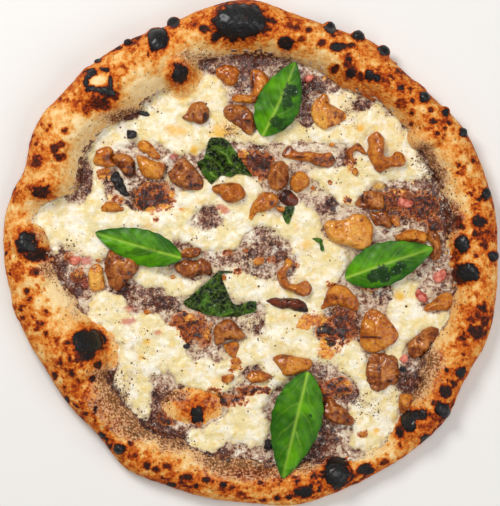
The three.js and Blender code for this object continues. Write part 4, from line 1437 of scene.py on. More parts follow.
def paint_toppings(piece: Piece, x: Array, y: Array, cover: Array) -> None:
    """Paints what the topping finish reads: milk, truffle, browning, oil and ham.

    Args:
        piece: the cream or the cheese.
        x: places of its points along X.
        y: places along Y.
        cover: how much cheese lies at each.
    """
    ring = smoothstep(-16.0, -3.0, DOUGH.beyond(x, y))
    patches = np.clip(glow(x, y, TRUFFLE), 0.0, 1.0)
    film = 0.30 + 0.20 * cloud(x, y, 11.0, 151) + 0.14 * cloud(x, y, 5.0, 153) - 0.22 * ring
    milk = np.maximum(smoothstep(0.15, 0.85, cover), film) - 0.45 * patches
    speckled = 0.16 + 0.84 * patches + 0.10 * ring + 0.36 * cloud(x, y, 9.0, 149)
    speckled = speckled + 0.7 * glow(x, y, STREWN) * (0.6 + 0.8 * cloud(x, y, 5.0, 157))
    piece.paint("milk", np.clip(milk, 0.0, 1.0))
    piece.paint("truffle", np.clip(speckled - 0.26 * smoothstep(0.1, 0.8, milk), 0.0, 1.0))
    piece.paint("bake", 0.72 * spots(x, y, BROWNED, 113, 0.4, 0.5))
    for name, rows in (("yellow", YELLOW), ("crisp", CRISP), ("pink", PINK)):
        piece.paint(name, glow(x, y, rows))


@dataclass
class Cream:
    """The truffle cream that covers the base up to the rim."""

    spacing: float = 1.2
    overlap: float = 4.0
    depth: float = 1.2
    half: float = 152.0

    def build(self, material: bpy.types.Material, cover: CheeseCover) -> Piece:
        """Makes the piece.

        Args:
            material: its finish.
            cover: where the melted cheese lies.

        Returns:
            The piece.
        """
        cells = int(2.0 * self.half / self.spacing)
        form = sheet_form(cells, cells, lambda x, y: DOUGH.beyond(x, y) < self.overlap,
                          (-self.half, self.half, -self.half, self.half))
        piece = Piece("truffle_cream", form)
        x, y = piece.raw()[:, :2].T
        top = cream_height(x, y)
        piece.lay(x, y, top, top - self.depth)
        paint_toppings(piece, x, y, cover.at(x, y))
        piece.done(material, ["dough"])
        return piece


@dataclass
class Cheese:
    """The melted mozzarella, thick in its pools and fading into the cream."""

    spacing: float = 0.95
    least: float = 0.22
    full: float = 2.1
    span: tuple[float, float, float, float] = (-148.0, 136.0, -136.0, 124.0)

    def build(self, material: bpy.types.Material, cover: CheeseCover) -> Piece:
        """Makes the piece.

        Args:
            material: its finish.
            cover: where the melted cheese lies.

        Returns:
            The piece.
        """
        columns = int((self.span[1] - self.span[0]) / self.spacing)
        rows = int((self.span[3] - self.span[2]) / self.spacing)
        form = sheet_form(columns, rows, lambda x, y: cover.at(x, y) > self.least, self.span)
        piece = Piece("melted_cheese", form)
        x, y = piece.raw()[:, :2].T
        much = cover.at(x, y)
        share = np.clip((much - 0.32) / 0.6, -1.0, 1.0)
        ripple = 0.50 * cloud(x, y, 8.0, 141) + 0.30 * cloud(x, y, 3.2, 143)
        depth = self.full * share + ripple * np.clip(1.6 * share, 0.0, 1.0) - 0.1
        cream = cream_height(x, y)
        top = cream + depth
        piece.lay(x, y, top, np.minimum(top - 0.8, cream - 0.6))
        paint_toppings(piece, x, y, much)
        piece.done(material, ["cheese"])
        return piece


# ---------------------------------------------------------------- toppings


# The outlines of the pieces of porcini, seen from above, in each tone in the order of their numbers.
PORCINI = {
    Tone.PALE: (
        ((40, 95), (42, 98), (45, 100.5), (46.5, 102.3), (49, 102), (50, 99.5), (50, 96.8), (53, 95),
         (57, 93), (60, 91), (61.5, 88.5), (61, 86), (58, 84), (54, 81.5), (50, 80), (47.5, 79.3),
         (44, 81), (41, 84.5), (39.5, 88.5), (39.3, 92)),
        ((47.5, 16), (48.5, 19.5), (51, 20.6), (56, 20.8), (61, 21.7), (64, 24), (68, 25.5), (73, 24.5),
         (76, 22), (78.5, 18), (79.2, 13), (78.5, 8), (77, 4.5), (74, 2.5), (70, 2), (65, 4), (60, 5.3),
         (55, 6), (51.5, 8), (49, 12)),
        ((-103.5, -12), (-101.5, -8), (-98, -6.8), (-96, -8), (-94.5, -11), (-94.2, -15), (-93, -19),
         (-93.5, -22.5), (-96, -24), (-100, -24.8), (-102.5, -23), (-103.7, -18)),
    ),
    Tone.GOLDEN: (
        ((-72.6, 68.7), (-70.3, 71.9), (-67.1, 73.3), (-63.9, 70.9), (-61.8, 67.7), (-58.6, 63.9),
         (-57.3, 61), (-59.1, 59.9), (-62.9, 61), (-66.1, 63.9), (-69.8, 65.5)),
        ((-100.2, 57), (-99.7, 63.4), (-97, 67.1), (-91.1, 68.2), (-87.5, 65.5), (-88.4, 60),
         (-86.5, 56.2), (-94.3, 54.9)),
        ((-72.7, 62.3), (-68.2, 61.5), (-63.4, 59.7), (-59.7, 58.6), (-54.5, 57.6), (-54.6, 54.3),
         (-55.9, 50.1), (-58.1, 47.3), (-62.3, 47.6), (-67.7, 49.2), (-70.4, 52.2), (-71.6, 57)),
        ((-97, 27.2), (-94.9, 30.3), (-91.7, 33), (-87.4, 32.5), (-83.7, 30.3), (-80.4, 27.9),
         (-83.7, 26.4), (-90, 26.2)),
        ((-22.3, 115.2), (-18.8, 120), (-11.8, 120.6), (-7, 117.3), (-7.8, 113.1), (-9.7, 107.8),
         (-13.9, 107.5), (-18.4, 110.5)),
        ((0.8, 117), (5, 118), (9.2, 115.9), (13.6, 109.6), (12, 105.4), (8.2, 100.5), (4.6, 96.9),
         (0, 95.9), (-6.5, 96.6), (-11.5, 98.2), (-9.7, 101.6), (-4.1, 101.9), (0.8, 101.5), (1, 106.8),
         (0.1, 112.4)),
        ((20.4, 62.4), (22.2, 66.6), (25.5, 69), (28.2, 66.4), (32, 64.9), (38, 65.3), (45, 63.8),
         (51.5, 64.5), (54.3, 61), (53.8, 57.5), (50, 55), (46, 55.4), (42, 56), (38.5, 58.2),
         (31, 59.6), (25, 60.7)),
        ((75.3, 73), (77.5, 76), (81, 77.8), (84.5, 76), (86.3, 72), (86.3, 67), (86, 63), (88, 61.6),
         (91, 62), (93, 64.8), (97, 64.5), (99.4, 61), (99, 57), (96, 55.3), (91, 55), (87, 53.2),
         (83.5, 51.5), (80.5, 52.8), (78.5, 56.5), (76, 61), (74.9, 64.5), (76, 68.5)),
        ((66.7, 57), (64.2, 60), (62, 62.6), (61, 65), (63, 67), (66, 68.6), (69, 70.5), (71.7, 68.8),
         (74, 66), (74.6, 63.4), (72, 63.4), (69.5, 65.2), (67, 65), (66, 62.6), (67.3, 59.8),
         (68.6, 57.4)),
        ((25.6, 43.8), (27.4, 49.4), (30.9, 52.6), (35.1, 51.5), (38.4, 47.3), (37.7, 43.1),
         (34.4, 40.6), (30.9, 38.6), (27.4, 40.6)),
        ((-0.6, 22.1), (0.1, 28.4), (3.6, 34.7), (8.5, 38.9), (14.4, 38.6), (18, 36.1), (17.6, 31.9),
         (15.5, 29.1), (9.2, 26.3), (4.3, 25.2), (1.5, 21.6)),
        ((-24.5, 41.7), (-21.5, 43.8), (-16.5, 44.9), (-9, 44.9), (-4.3, 41.7), (-3, 36.3),
         (-6.2, 33.8), (-12.5, 31.9), (-17, 34), (-19.5, 37.5), (-23, 39.2)),
        ((93, 9.5), (96, 12.5), (100, 14.5), (104, 15.5), (109, 14.4), (113.4, 13.2), (113.2, 8),
         (110, 6), (104, 6), (98, 7.3)),
        ((-17, -59.2), (-14, -57.9), (-10, -57.2), (-7.2, -58.2), (-7, -61), (-8, -64), (-9.5, -67.2),
         (-12, -66.6), (-15, -63.7)),
        ((23, -4), (25.6, -3.4), (27.4, -6.5), (25.2, -9.5), (23.4, -12.5), (23.9, -16), (26.2, -19.4),
         (30, -19.8), (33, -18.5), (36.6, -17.8), (39.8, -21.5), (39.4, -25), (37.3, -27.3),
         (34, -27.8), (30, -26.9), (27.3, -25.2), (22, -23.2), (19, -20.3), (17.8, -16.4),
         (17.2, -12.6), (19.5, -9.9), (22, -7.5)),
        ((45.5, -36.2), (46.5, -33), (48, -28), (50, -23.6), (54, -20.9), (59, -20.6), (63, -22.4),
         (66.4, -26), (69.3, -30), (69.9, -34), (68.6, -36.9), (66, -36.4), (62, -34.4), (57, -33.5),
         (52, -34.3), (48.5, -35.4)),
        ((74.4, -38.6), (78, -35.8), (82, -36.7), (86, -39.4), (90, -43.7), (93.8, -49), (95.2, -53),
         (93.7, -57), (90, -59.5), (86, -61.6), (82, -63.4), (78, -64), (74, -62.4), (71.2, -59.5),
         (70.2, -55.5), (70.8, -51), (71.3, -46), (72.8, -41.8)),
        ((111.2, -36.2), (113, -33.5), (117, -31), (121, -28), (125, -25.7), (128.8, -25.9),
         (130.2, -28.5), (130, -33), (128, -36.3), (124, -36.9), (119, -37), (114, -38)),
        ((95.7, -91.4), (99.5, -90.3), (104.2, -91), (105.7, -93.3), (105, -96.5), (103, -98.9),
         (102.2, -101.7), (99, -103.4), (96, -101.8), (95.4, -97)),
        ((14.3, -68), (17, -65.6), (22, -65), (27, -66), (32, -67), (36, -67.6), (39.3, -69.2),
         (39.7, -72), (37, -75.2), (33, -76.6), (28, -78.3), (23.4, -79.2), (21, -77.7), (19.5, -74.6),
         (17, -71.2)),
        ((-2.4, -79.7), (-0.5, -77), (3, -75.5), (8, -75.6), (12, -77.2), (16.2, -79.3), (13.5, -80.8),
         (10, -82.2), (6, -83.4), (1, -83.2)),
    ),
    Tone.BROWN: (
        ((-89.3, 62), (-87, 63.6), (-81, 63.9), (-76.9, 62.4), (-74.4, 59.7), (-73.5, 55.4),
         (-73.6, 51.4), (-75.6, 48.4), (-78.9, 49), (-82.1, 51.9), (-85, 55.4), (-88.6, 58.1)),
        ((-52.7, 51.5), (-49.3, 54.9), (-46.9, 59.1), (-42.6, 61.5), (-38.9, 58.6), (-35.1, 54.3),
         (-31.9, 50.1), (-29.8, 45.8), (-30.6, 41.5), (-35.7, 40.1), (-42.1, 40.9), (-47.4, 43.3),
         (-51.3, 46.9)),
        ((-43.6, 87.1), (-40.2, 90.6), (-38.3, 94.3), (-34.1, 96.7), (-31.4, 97.1), (-28.4, 95.4),
         (-26.6, 91.7), (-26.1, 86.9), (-28, 84.2), (-31.4, 82.7), (-35.7, 83.8), (-41, 85.2)),
        ((-17, 90), (-14.8, 94), (-9, 95.2), (-2, 93.8), (2.2, 87.4), (2.9, 80.6), (1.5, 76.6),
         (-2.7, 76.6), (-9, 81.6), (-14.2, 85.6)),
        ((11.7, 50.1), (13.4, 55), (17.7, 58.9), (21.7, 58.4), (24.7, 53.6), (24.4, 46.6), (21.6, 41.9),
         (17.6, 40.4), (13.6, 42.6), (11.9, 46.6)),
        ((67.3, 31.5), (69, 34), (70.8, 37), (73.3, 39), (77, 39.6), (82, 39.4), (84.6, 38), (85.5, 33),
         (85.4, 28.9), (83, 27.6), (79, 27.9), (75, 28.7), (70.4, 29.6)),
        ((77, 26.6), (80, 26.5), (84, 26.8), (86.8, 27.6), (88.6, 25), (90, 20.5), (90.4, 16.4),
         (88, 16.2), (85, 17), (81, 17.8), (79, 20), (77.6, 23)),
        ((113.6, 11), (114.4, 14), (118, 14.6), (120.8, 12), (122.3, 7), (122.6, 2), (122, -3),
         (119.4, -4.6), (116.6, -3.6), (115.8, 0), (116.8, 4), (115.4, 8)),
        ((-91, 1.5), (-92.5, -3), (-93.3, -9), (-92.4, -14), (-90.8, -19), (-88.5, -22.6), (-86, -24.2),
         (-83, -23.6), (-80, -19.8), (-76, -16), (-72.7, -12.6), (-71.4, -9), (-72, -5.4), (-76, -2),
         (-81, 0.4), (-86, 2.2)),
        ((-48.5, -9), (-47, -6.3), (-42, -4.8), (-36, -4.6), (-31.8, -3.8), (-29, -4), (-26.6, -6),
         (-25, -9.6), (-24.1, -12.8), (-26, -14.8), (-29.3, -13.6), (-32.4, -14.6), (-36, -15.7),
         (-40, -16), (-43.5, -14.5), (-47, -12)),
        ((-46, -1), (-43, 1.2), (-41, 2.6), (-37, 3.4), (-33, 3.5), (-31.2, 1.8), (-32.2, -1),
         (-35, -2.6), (-40, -2.7), (-44, -2.6)),
        ((-23.3, -50), (-22, -47), (-19, -44.3), (-14.5, -42.6), (-10.5, -43.6), (-7.6, -46.6),
         (-5, -50), (-3, -53.2), (-5, -55.4), (-9, -55.2), (-13, -55.3), (-16, -56.8), (-19.4, -59),
         (-21.8, -59.6), (-22.9, -56)),
        ((78, -65.4), (82, -64.6), (86, -64.2), (89, -65.3), (92.5, -66), (95, -69), (95.6, -75),
         (95.3, -81), (93, -84.2), (89, -85), (85, -88), (81, -89), (77, -86.4), (74.6, -81.6),
         (74.2, -76), (75, -71), (76.3, -67.8)),
        ((101.2, -59.3), (103.2, -55.8), (108, -52.3), (111, -49.4), (115, -47.6), (119, -47.8),
         (121.6, -49.6), (122.6, -52), (120.6, -55.6), (117, -59.2), (112.6, -63.2), (109, -66.4),
         (105, -67.8), (102.4, -65.6), (101.3, -62)),
        ((50, -94), (53, -94.2), (56, -96.6), (60, -99.4), (63.5, -103), (66.8, -106.5), (66, -108.9),
         (63, -110.2), (58, -110), (53, -109.2), (50, -106.5), (47.2, -104), (46.7, -99),
         (48.2, -95.5)),
    ),
    Tone.DARK: (
        ((18.9, 34.7), (21.1, 40.1), (26, 40), (30.2, 36.1), (30.8, 32.2), (28.1, 30.4), (23.2, 31)),
        ((10.2, -30.6), (13, -32.4), (17, -34.9), (21, -35.9), (25, -35.6), (29, -37.2), (33, -38),
         (37, -37.8), (36.6, -35), (34.8, -31.6), (31.6, -29.6), (28, -28.9), (22, -29), (17, -28.6),
         (13, -29.4)),
    ),
}

# Darker places on the porcini, browned spots and painted shade in slits and cracks, and, where
# negative, paler places: middle, half widths, strength.
MARKS_AND_CRACK_SHADE = (
    (-90.5, 61, 3, 3, 0.4), (-78, 50.5, 4, 1.4, 0.6), (-80, 58, 8, 0.9, 0.45), (-79, 55, 7, 0.8, 0.45),
    (-47, 47, 4, 4, -0.35), (-34, 43.5, 6, 1.2, 0.6), (-38, 47, 1.4, 7, 0.35), (-36, 92, 5, 3, -0.2),
    (-28.5, 87, 2, 5, 0.35), (2, 110, 0.8, 6, 0.8), (-3, 97, 6, 1.2, -0.3), (7, 109, 1.4, 7, -0.3),
    (-12, 99.6, 3, 1, 0.3), (31.2, 61.5, 3, 0.7, 0.9), (46, 59, 8, 3.6, 0.35), (26, 66, 3, 2, 0.25),
    (53, 61, 2, 4, 0.3), (38, 63, 5, 1.6, -0.3), (80.5, 73, 4, 3, 0.2), (84, 66, 2, 3, 0.35),
    (96, 62, 3, 3, -0.15), (83, 53.5, 4, 2, 0.2), (70.4, 69, 1.6, 1.6, 0.6), (67, 57.5, 1.4, 1.4, 0.5),
    (14, 32, 1.7, 1.7, 1), (16.4, 49, 1, 8, 0.3), (23.6, 47, 1.6, 5, 0.4), (55, 16.6, 0.9, 0.9, 0.7),
    (71, 21, 0.9, 1.2, 0.7), (63, 13.6, 3, 0.8, 0.4), (68, 8, 9, 4, 0.12), (54, 9, 4, 3, -0.15),
    (70, 15, 7, 3, -0.2), (78, 12, 1.2, 7, 0.2), (54.5, 89.5, 1.2, 0.9, 1.1), (54.5, 87, 0.8, 1.2, 0.8),
    (58.5, 87, 3.4, 5, 0.35), (53, 83, 1, 2, 0.6), (47, 100, 2.6, 2.4, 0.12), (49.4, 96.6, 1, 0.7, 0.8),
    (-99.6, -13, 0.7, 4.6, 0.45), (-98.6, -9, 3, 2.2, 0.25), (-97, -19, 2, 4, -0.2),
    (-99, -16, 5, 10, -0.3), (-77.5, -13, 2.4, 1.6, 0.7), (-80.4, -17.6, 1.8, 1.3, 0.6),
    (-86, -9, 5, 4, -0.25), (-90, -6, 1.2, 8, 0.3), (-84, -3, 6, 2, 0.5), (-85, -18, 4, 2, -0.2),
    (-34, -9, 6, 4, -0.2), (-40, -4.6, 8, 0.8, 0.7), (-27, -11.6, 2.4, 0.7, 0.5),
    (-13, -55.2, 4, 0.9, 0.9), (-14, -53.4, 5, 1.6, -0.35), (-20.6, -57.6, 1.6, 3, -0.15),
    (-12, -47, 5, 3, 0.1), (56, -29, 8, 1.5, 0.3), (55, -24, 5, 2, -0.25), (67, -33, 2, 3, 0.3),
    (77, -54, 7, 0.7, 0.85), (83, -54.6, 1.2, 0.9, 0.7), (82, -58, 9, 3, -0.3), (79, -46, 6, 4, -0.15),
    (92, -50, 2, 6, 0.25), (83, -74, 1.4, 6, 0.5), (88, -76, 4, 4, -0.25), (78, -80, 3, 2, 0.35),
    (90, -82, 4, 1, 0.4), (119, -53, 4, 5, 0.6), (116.6, -59, 2, 2, 0.9), (105, -58, 3, 4, -0.3),
    (104, -64, 1, 4, 0.3), (120, -31, 8, 0.9, 0.35), (118, -35.4, 6, 1.6, 0.3), (99, -97, 2, 4, -0.2),
    (103, -97, 1, 3, 0.4), (27, -73, 6, 3, -0.25), (20, -68, 4, 1.4, 0.2), (33, -74, 4, 1, 0.3),
    (5, -79, 6, 2, -0.2), (53, -99, 3, 4, -0.1), (61, -105, 3, 4, 0.4), (62.5, -103, 5, 1.2, 0.2),
    (47.6, -101, 1, 4, 0.4), (72, 36, 1.2, 3, 0.6), (75, 34, 0.9, 3, 0.5), (80, 33, 4, 2, -0.2),
    (76, 30, 8, 1, 0.45), (85.6, 20, 2.4, 1.6, -0.3), (81, 22, 2, 3, 0.4), (21.4, 35, 2, 4, 0.5),
    (26.6, 36.6, 2, 2, -0.4), (118, 5, 1.2, 8, 0.25), (30, -22, 5, 1.2, -0.2), (21, -17, 1.6, 5, 0.25),
    (24.6, -5.6, 2, 2, -0.35), (36, -24, 2, 2, -0.15), (34, -36.6, 4, 1.6, 0.8),
    (22, -31.6, 9, 1, -0.25), (-62, 54, 4, 4, -0.3), (-68, 60.4, 4, 1.2, 0.3), (-94, 61, 4, 4, 0.15),
    (-66, 68, 3, 3, -0.2),
)

# Bits of porcini too small for a solid: middle, half widths, turn in degrees, rise.
BITS = (
    (5.5, -5, 4.2, 2.6, 10, 2.4), (19.7, 28, 2.8, 2.6, 0, 3.2), (67.6, 52.2, 2, 2.8, 0, 1.8),
    (93.4, 20.6, 2.6, 4.2, 35, 2.2), (-14.2, -80.6, 4.8, 3, 12, 2.4), (-94, 52.4, 5.2, 2, 8, 1.8),
    (-49.6, -15.4, 1.7, 1.4, 0, 1.2), (-2.6, 1.6, 1.9, 1.7, 0, 1.2), (-17, -15.6, 1.6, 1.9, 0, 1.5),
    (-97.6, -4.8, 2, 1.2, 0, 1.2), (-66, -38, 2.6, 1.6, -20, 1.2), (-5, 63, 3.6, 2.4, -40, 2.2),
    (-8.6, -69.2, 3.6, 1.8, -25, 1.6), (40.4, 41.6, 1.6, 1.6, 0, 1.2), (51.4, 45.6, 1.6, 1.6, 0, 1.2),
    (52.6, 69.4, 1.6, 1.8, 0, 1.2), (-50.6, -45.4, 1.7, 1.5, 0, 1.2), (73.2, -116.4, 2.4, 1.8, 0, 1.4),
    (-83, 34.6, 1.6, 1.2, 0, 1), (-10.4, -73, 2, 1.4, 0, 1),
)
BURNT_BITS = (
    (-67.8, 89.4, 3.4, 1.6, -12, 1.6), (-97, 103.4, 5.6, 1.3, -6, 0.6), (-88, 101, 2.4, 1.8, 0, 0.6),
    (-102, 112, 2.3, 2, 0, 0.6), (-94, 117, 2.6, 0.9, 0, 0.5), (-89, 109.4, 1, 2.8, 0, 0.6),
    (-97.4, 123, 2.4, 1.2, 20, 0.6), (98, -74.6, 2.6, 1.5, -20, 1.2), (-41, -60, 2.4, 1.6, 0, 1),
)
GREEN_BITS = (
    (43.4, 8.4, 3.8, 1.2, -18, 1.2), (46.2, 3.4, 1.2, 2.8, 8, 1.2), (23, 22.6, 1.4, 2, 0, 1),
)


def inside_by(curve: Array, x: Array, y: Array) -> Array:
    """Distance of each place from a closed curve.

    Args:
        curve: places on the curve.
        x: places along X, in millimetres.
        y: places along Y.

    Returns:
        The distances, positive inside it.
    """
    nearest = np.full_like(x, 1e9, dtype=float)
    inside = np.zeros(x.shape, dtype=bool)
    for (ax, ay), (bx, by) in zip(curve, np.roll(curve, -1, axis=0)):
        run, rise = bx - ax, by - ay
        share = np.clip(((x - ax) * run + (y - ay) * rise) / (run * run + rise * rise + 1e-12), 0, 1)
        nearest = np.minimum(nearest, np.hypot(x - ax - share * run, y - ay - share * rise))
        crosses = (ay > y) != (by > y)
        inside ^= crosses & (x < ax + (y - ay) * run / (rise if rise else 1e-12))
    return np.where(inside, nearest, -nearest)


def slab_form(slabs: Sequence[tuple[Array, float, float]], voxel: float,
              rounds: int) -> bmesh.types.BMesh:
    """Even, softened slabs.

    Args:
        slabs: outline, underside and top of each, in millimetres.
        voxel: spacing of the points, in millimetres.
        rounds: how often they are smoothed.

    Returns:
        The slabs, in metres.
    """
    form = bmesh.new()
    for outline, low, high in slabs:
        ring = [form.verts.new((x * MM, y * MM, low * MM)) for x, y in outline]
        grown = bmesh.ops.extrude_face_region(form, geom=[form.faces.new(ring)])
        lifted = [item for item in grown["geom"] if isinstance(item, bmesh.types.BMVert)]
        bmesh.ops.translate(form, vec=(0.0, 0.0, (high - low) * MM), verts=lifted)
    bmesh.ops.recalc_face_normals(form, faces=form.faces)
    return even_form(form, voxel, rounds)


@dataclass
class Porcini:
    """The roasted pieces of porcini, each over its own solid."""

    voxel: float = 0.62
    rounds: int = 2
    sink: float = 1.2
    rounding: float = 4.2
    cuts: int = 3

    def facets(self, x: Array, y: Array, draw: np.random.Generator) -> tuple[Array, Array]:
        """Flat cut faces.

        Args:
            x: places along X, in millimetres.
            y: places along Y.
            draw: where random numbers come from.

        Returns:
            The faces as shares of the height, and a tint for each place.
        """
        middle_x, middle_y = x.mean(), y.mean()
        span = 0.5 * max(np.ptp(x), np.ptp(y))
        turn = draw.uniform(0.0, 2.0 * math.pi)
        planes = []
        for number in range(self.cuts):
            angle = turn + (number + draw.uniform(-0.25, 0.25)) * 2.0 * math.pi / self.cuts
            along = ((x - middle_x) * math.cos(angle) + (y - middle_y) * math.sin(angle)) / span
            planes.append(1.03 - draw.uniform(0.30, 0.60) * (along - draw.uniform(-0.1, 0.25)))
        stack = np.array([np.ones_like(x), *planes])
        tints = draw.uniform(-0.16, 0.16, len(stack))
        return stack.min(axis=0), tints[stack.argmin(axis=0)]

    def build_one(self, node: str, rows: Rows, seed: int, material: bpy.types.Material) -> Piece:
        """Makes one piece inside its outline and as high as its solid.

        Args:
            node: the solid's name.
            rows: places on its outline.
            seed: picks its lumps and cuts.
            material: its finish.

        Returns:
            The piece.
        """
        heights = [vert.co.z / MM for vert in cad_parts[node].data.vertices]
        low, high = min(heights) - self.sink, max(heights)
        outline = closed_curve(rows)
        piece = Piece(node + "_roasted", slab_form([(outline, low, high)], self.voxel, self.rounds))
        points = piece.points()
        x, y, z = points.T
        inside = inside_by(outline, x, y)
        draw = np.random.default_rng(900 + seed)
        reach = min(self.rounding, 0.8 * float(inside.max()))
        dome = 1.0 - (1.0 - np.clip(inside / reach, 0.0, 1.0)) ** 2
        cut, tint = self.facets(x, y, draw)
        share = (z - low) / (high - low)
        body = np.minimum(0.40 + 0.60 * dome**0.65, cut)
        points[:, 2] = low + (high - low) * share * body
        piece.move(points)
        normals = piece.normals()
        lumps = 0.6 * cloud(x, y, 7.0, 200 + seed, z) + 0.4 * cloud(x, y, 2.8, 260 + seed, z)
        fold = 1.0 - np.abs(cloud(x, y, 11.0, 320 + seed, z, 2))
        crease = smoothstep(0.91, 0.985, fold)
        ridges = 1.0 - 2.0 * np.abs(cloud(x, y, 4.0, 380 + seed, z, 2))
        rough = 0.55 if "brown" in node else 0.3
        up = smoothstep(-0.2, 0.3, normals[:, 2])
        push = 0.6 * lumps - 0.4 * crease + rough * ridges
        piece.move(points + normals * (up * push)[:, None])
        # Painted light and shade: the colour follows the relief, darker in creases and lighter on
        # raised lumps and ridges; the rim is darker, partly browning and partly painted shade.
        edge = 1.0 - smoothstep(0.2, 2.4, inside)
        shade = 0.56 + tint - 0.04 * edge - 0.22 * crease + 0.14 * lumps - glow(x, y, MARKS_AND_CRACK_SHADE)
        shade += 0.35 * rough * (ridges - 0.2)
        piece.paint("shade", np.clip(shade, -0.2, 1.1))
        piece.done(material, [node])
        return piece

    def build(self) -> dict[Tone, bpy.types.Material]:
        """Makes every piece.

        Returns:
            The finish of each tone.
        """
        finishes = {tone: PorciniFinish(tone).make() for tone in Tone}
        seed = 0
        for tone, outlines in PORCINI.items():
            for number, rows in enumerate(outlines, 1):
                node = f"porcini_{tone.name.lower()}_{number:02d}"
                self.build_one(node, rows, seed, finishes[tone])
                seed += 1
        return finishes


@dataclass
class Bits:
    """Small things of one kind, joined in one piece."""

    voxel: float = 0.4
    corners: int = 11
    rough: float = 0.45

    def build(self, name: str, rows: Rows, slot: str, material: bpy.types.Material,
              ground: Ground) -> Piece:
        """Makes them.

        Args:
            name: the piece's name.
            rows: middle x and y, half widths, turn in degrees and rise of each.
            slot: not used.
            material: their finish.
            ground: what they lie on.

        Returns:
            The piece.
        """
        draw = np.random.default_rng(len(rows))
        slabs = []
        angles = np.linspace(0.0, 2.0 * math.pi, self.corners, endpoint=False)
        for x, y, half_x, half_y, turn, rise in rows:
            ragged = draw.uniform(0.78, 1.16, self.corners)
            across, along = half_x * ragged * np.cos(angles), half_y * ragged * np.sin(angles)
            bend = math.radians(turn)
            outline = np.column_stack((x + across * math.cos(bend) - along * math.sin(bend),
                                       y + across * math.sin(bend) + along * math.cos(bend)))
            under = ground.height(x, y)
            slabs.append((closed_curve(outline, 3), under - 1.0, under + rise))
        piece = Piece(name, slab_form(slabs, self.voxel, 3))
        points, normals = piece.points(), piece.normals()
        x, y, z = points.T
        lumps = cloud(x, y, 2.6, 77, z)
        piece.move(points + normals * (self.rough * lumps)[:, None])
        # Painted light and shade: lighter where the lumps stand out, darker where they sink.
        piece.paint("shade", 0.55 + 0.3 * lumps)
        for name in ("vein", "wet"):
            piece.paint(name, np.zeros_like(x))
        piece.done(material)
        return piece


@dataclass(frozen=True)
class FreshLeaf:
    """A fresh basil leaf: foot and tip of its midrib, width, bow, and wet dark places."""

    node: str
    foot: tuple[float, float]
    tip: tuple[float, float]
    width: float
    bow: float = 0.0
    curl: float = 0.0
    wet: tuple = ()
    veins: int = 5
    thickness: float = 0.5

    def half_width(self, u: Array) -> Array:
        """Half the blade's width at a share of its length."""
        rise = np.sin(math.pi * np.clip(u, 0.0, 1.0) ** 0.85) ** 0.8
        return 0.6 + 0.5 * self.width * rise * (1.0 - 0.12 * u)

    def build(self, material: bpy.types.Material) -> Piece:
        """Makes the leaf over its solid.

        Args:
            material: its finish.

        Returns:
            The piece.
        """
        piece = Piece(self.node + "_leaf", sheet_form(96, 44))
        u, w = piece.raw()[:, :2].T
        w = 2.0 * w - 1.0
        foot, tip = np.array(self.foot), np.array(self.tip)
        along = tip - foot
        length = float(np.hypot(*along))
        side = np.array((-along[1], along[0])) / length
        notch = 1.0 + 0.02 * np.sin(46.0 * u) * np.abs(w) ** 6
        out = w * self.half_width(u) * notch + self.bow * np.sin(math.pi * u)
        x = foot[0] + along[0] * u + side[0] * out
        y = foot[1] + along[1] * u + side[1] * out
        tree = solid_tree(self.node)
        base = np.array([self.lie(tree, a, b) for a, b in zip(x, y)])
        spread = np.abs(w)
        phase = self.veins * (u - 0.30 * spread**1.15) + 0.3 * np.sign(w)
        phase = phase + 0.16 * cloud(x, y, 12.0, self.width, octaves=2)
        gap = np.abs(phase - np.rint(phase))
        inner = smoothstep(0.02, 0.10, spread) * smoothstep(0.03, 0.12, u)
        relief = 0.5 * gap * inner * (1.0 - 0.4 * spread)
        rib = np.exp(-((w * self.half_width(u) / 0.9) ** 2)) * (1.0 - u) ** 0.3
        wave = self.curl * spread**3 * np.sin(7.0 * u + 1.3)
        wrinkles = 0.45 * cloud(x, y, 7.0, len(self.node) + self.width, octaves=2)
        top = base + relief - 0.5 * rib + wave + wrinkles
        piece.lay(x, y, top, top - self.thickness)
        thin = 0.42 * inner * (1.0 - smoothstep(0.0, 0.07, gap)) * (1.0 - spread)
        piece.paint("vein", np.clip(np.maximum(0.8 * rib, thin), 0.0, 1.0))
        # Painted light and shade: lighter on the bulges between the veins, darker in the vein grooves;
        # one half of the blade is paler and the edges darker.
        shade = 0.42 + 0.32 * (gap - 0.25) * inner + 0.10 * np.sign(w) - 0.25 * spread**4
        piece.paint("shade", np.clip(shade + 0.2 * cloud(x, y, 9.0, 7), 0.0, 1.0))
        piece.paint("wet", spots(x, y, self.wet, 11, 0.55, 0.16))
        piece.done(material, [self.node])
        return piece

    @staticmethod
    def lie(tree: BVHTree, x: float, y: float) -> float:
        """Height of a solid's top.

        Args:
            tree: the solid's surface.
            x: the place along X, in millimetres.
            y: the place along Y.

        Returns:
            The height there, or at the nearest place where it is beside the solid.
        """
        hit = drop(tree, x, y)
        if hit is None:
            hit = tree.find_nearest(Vector((x, y, 12.0)))[0]
        return hit.z


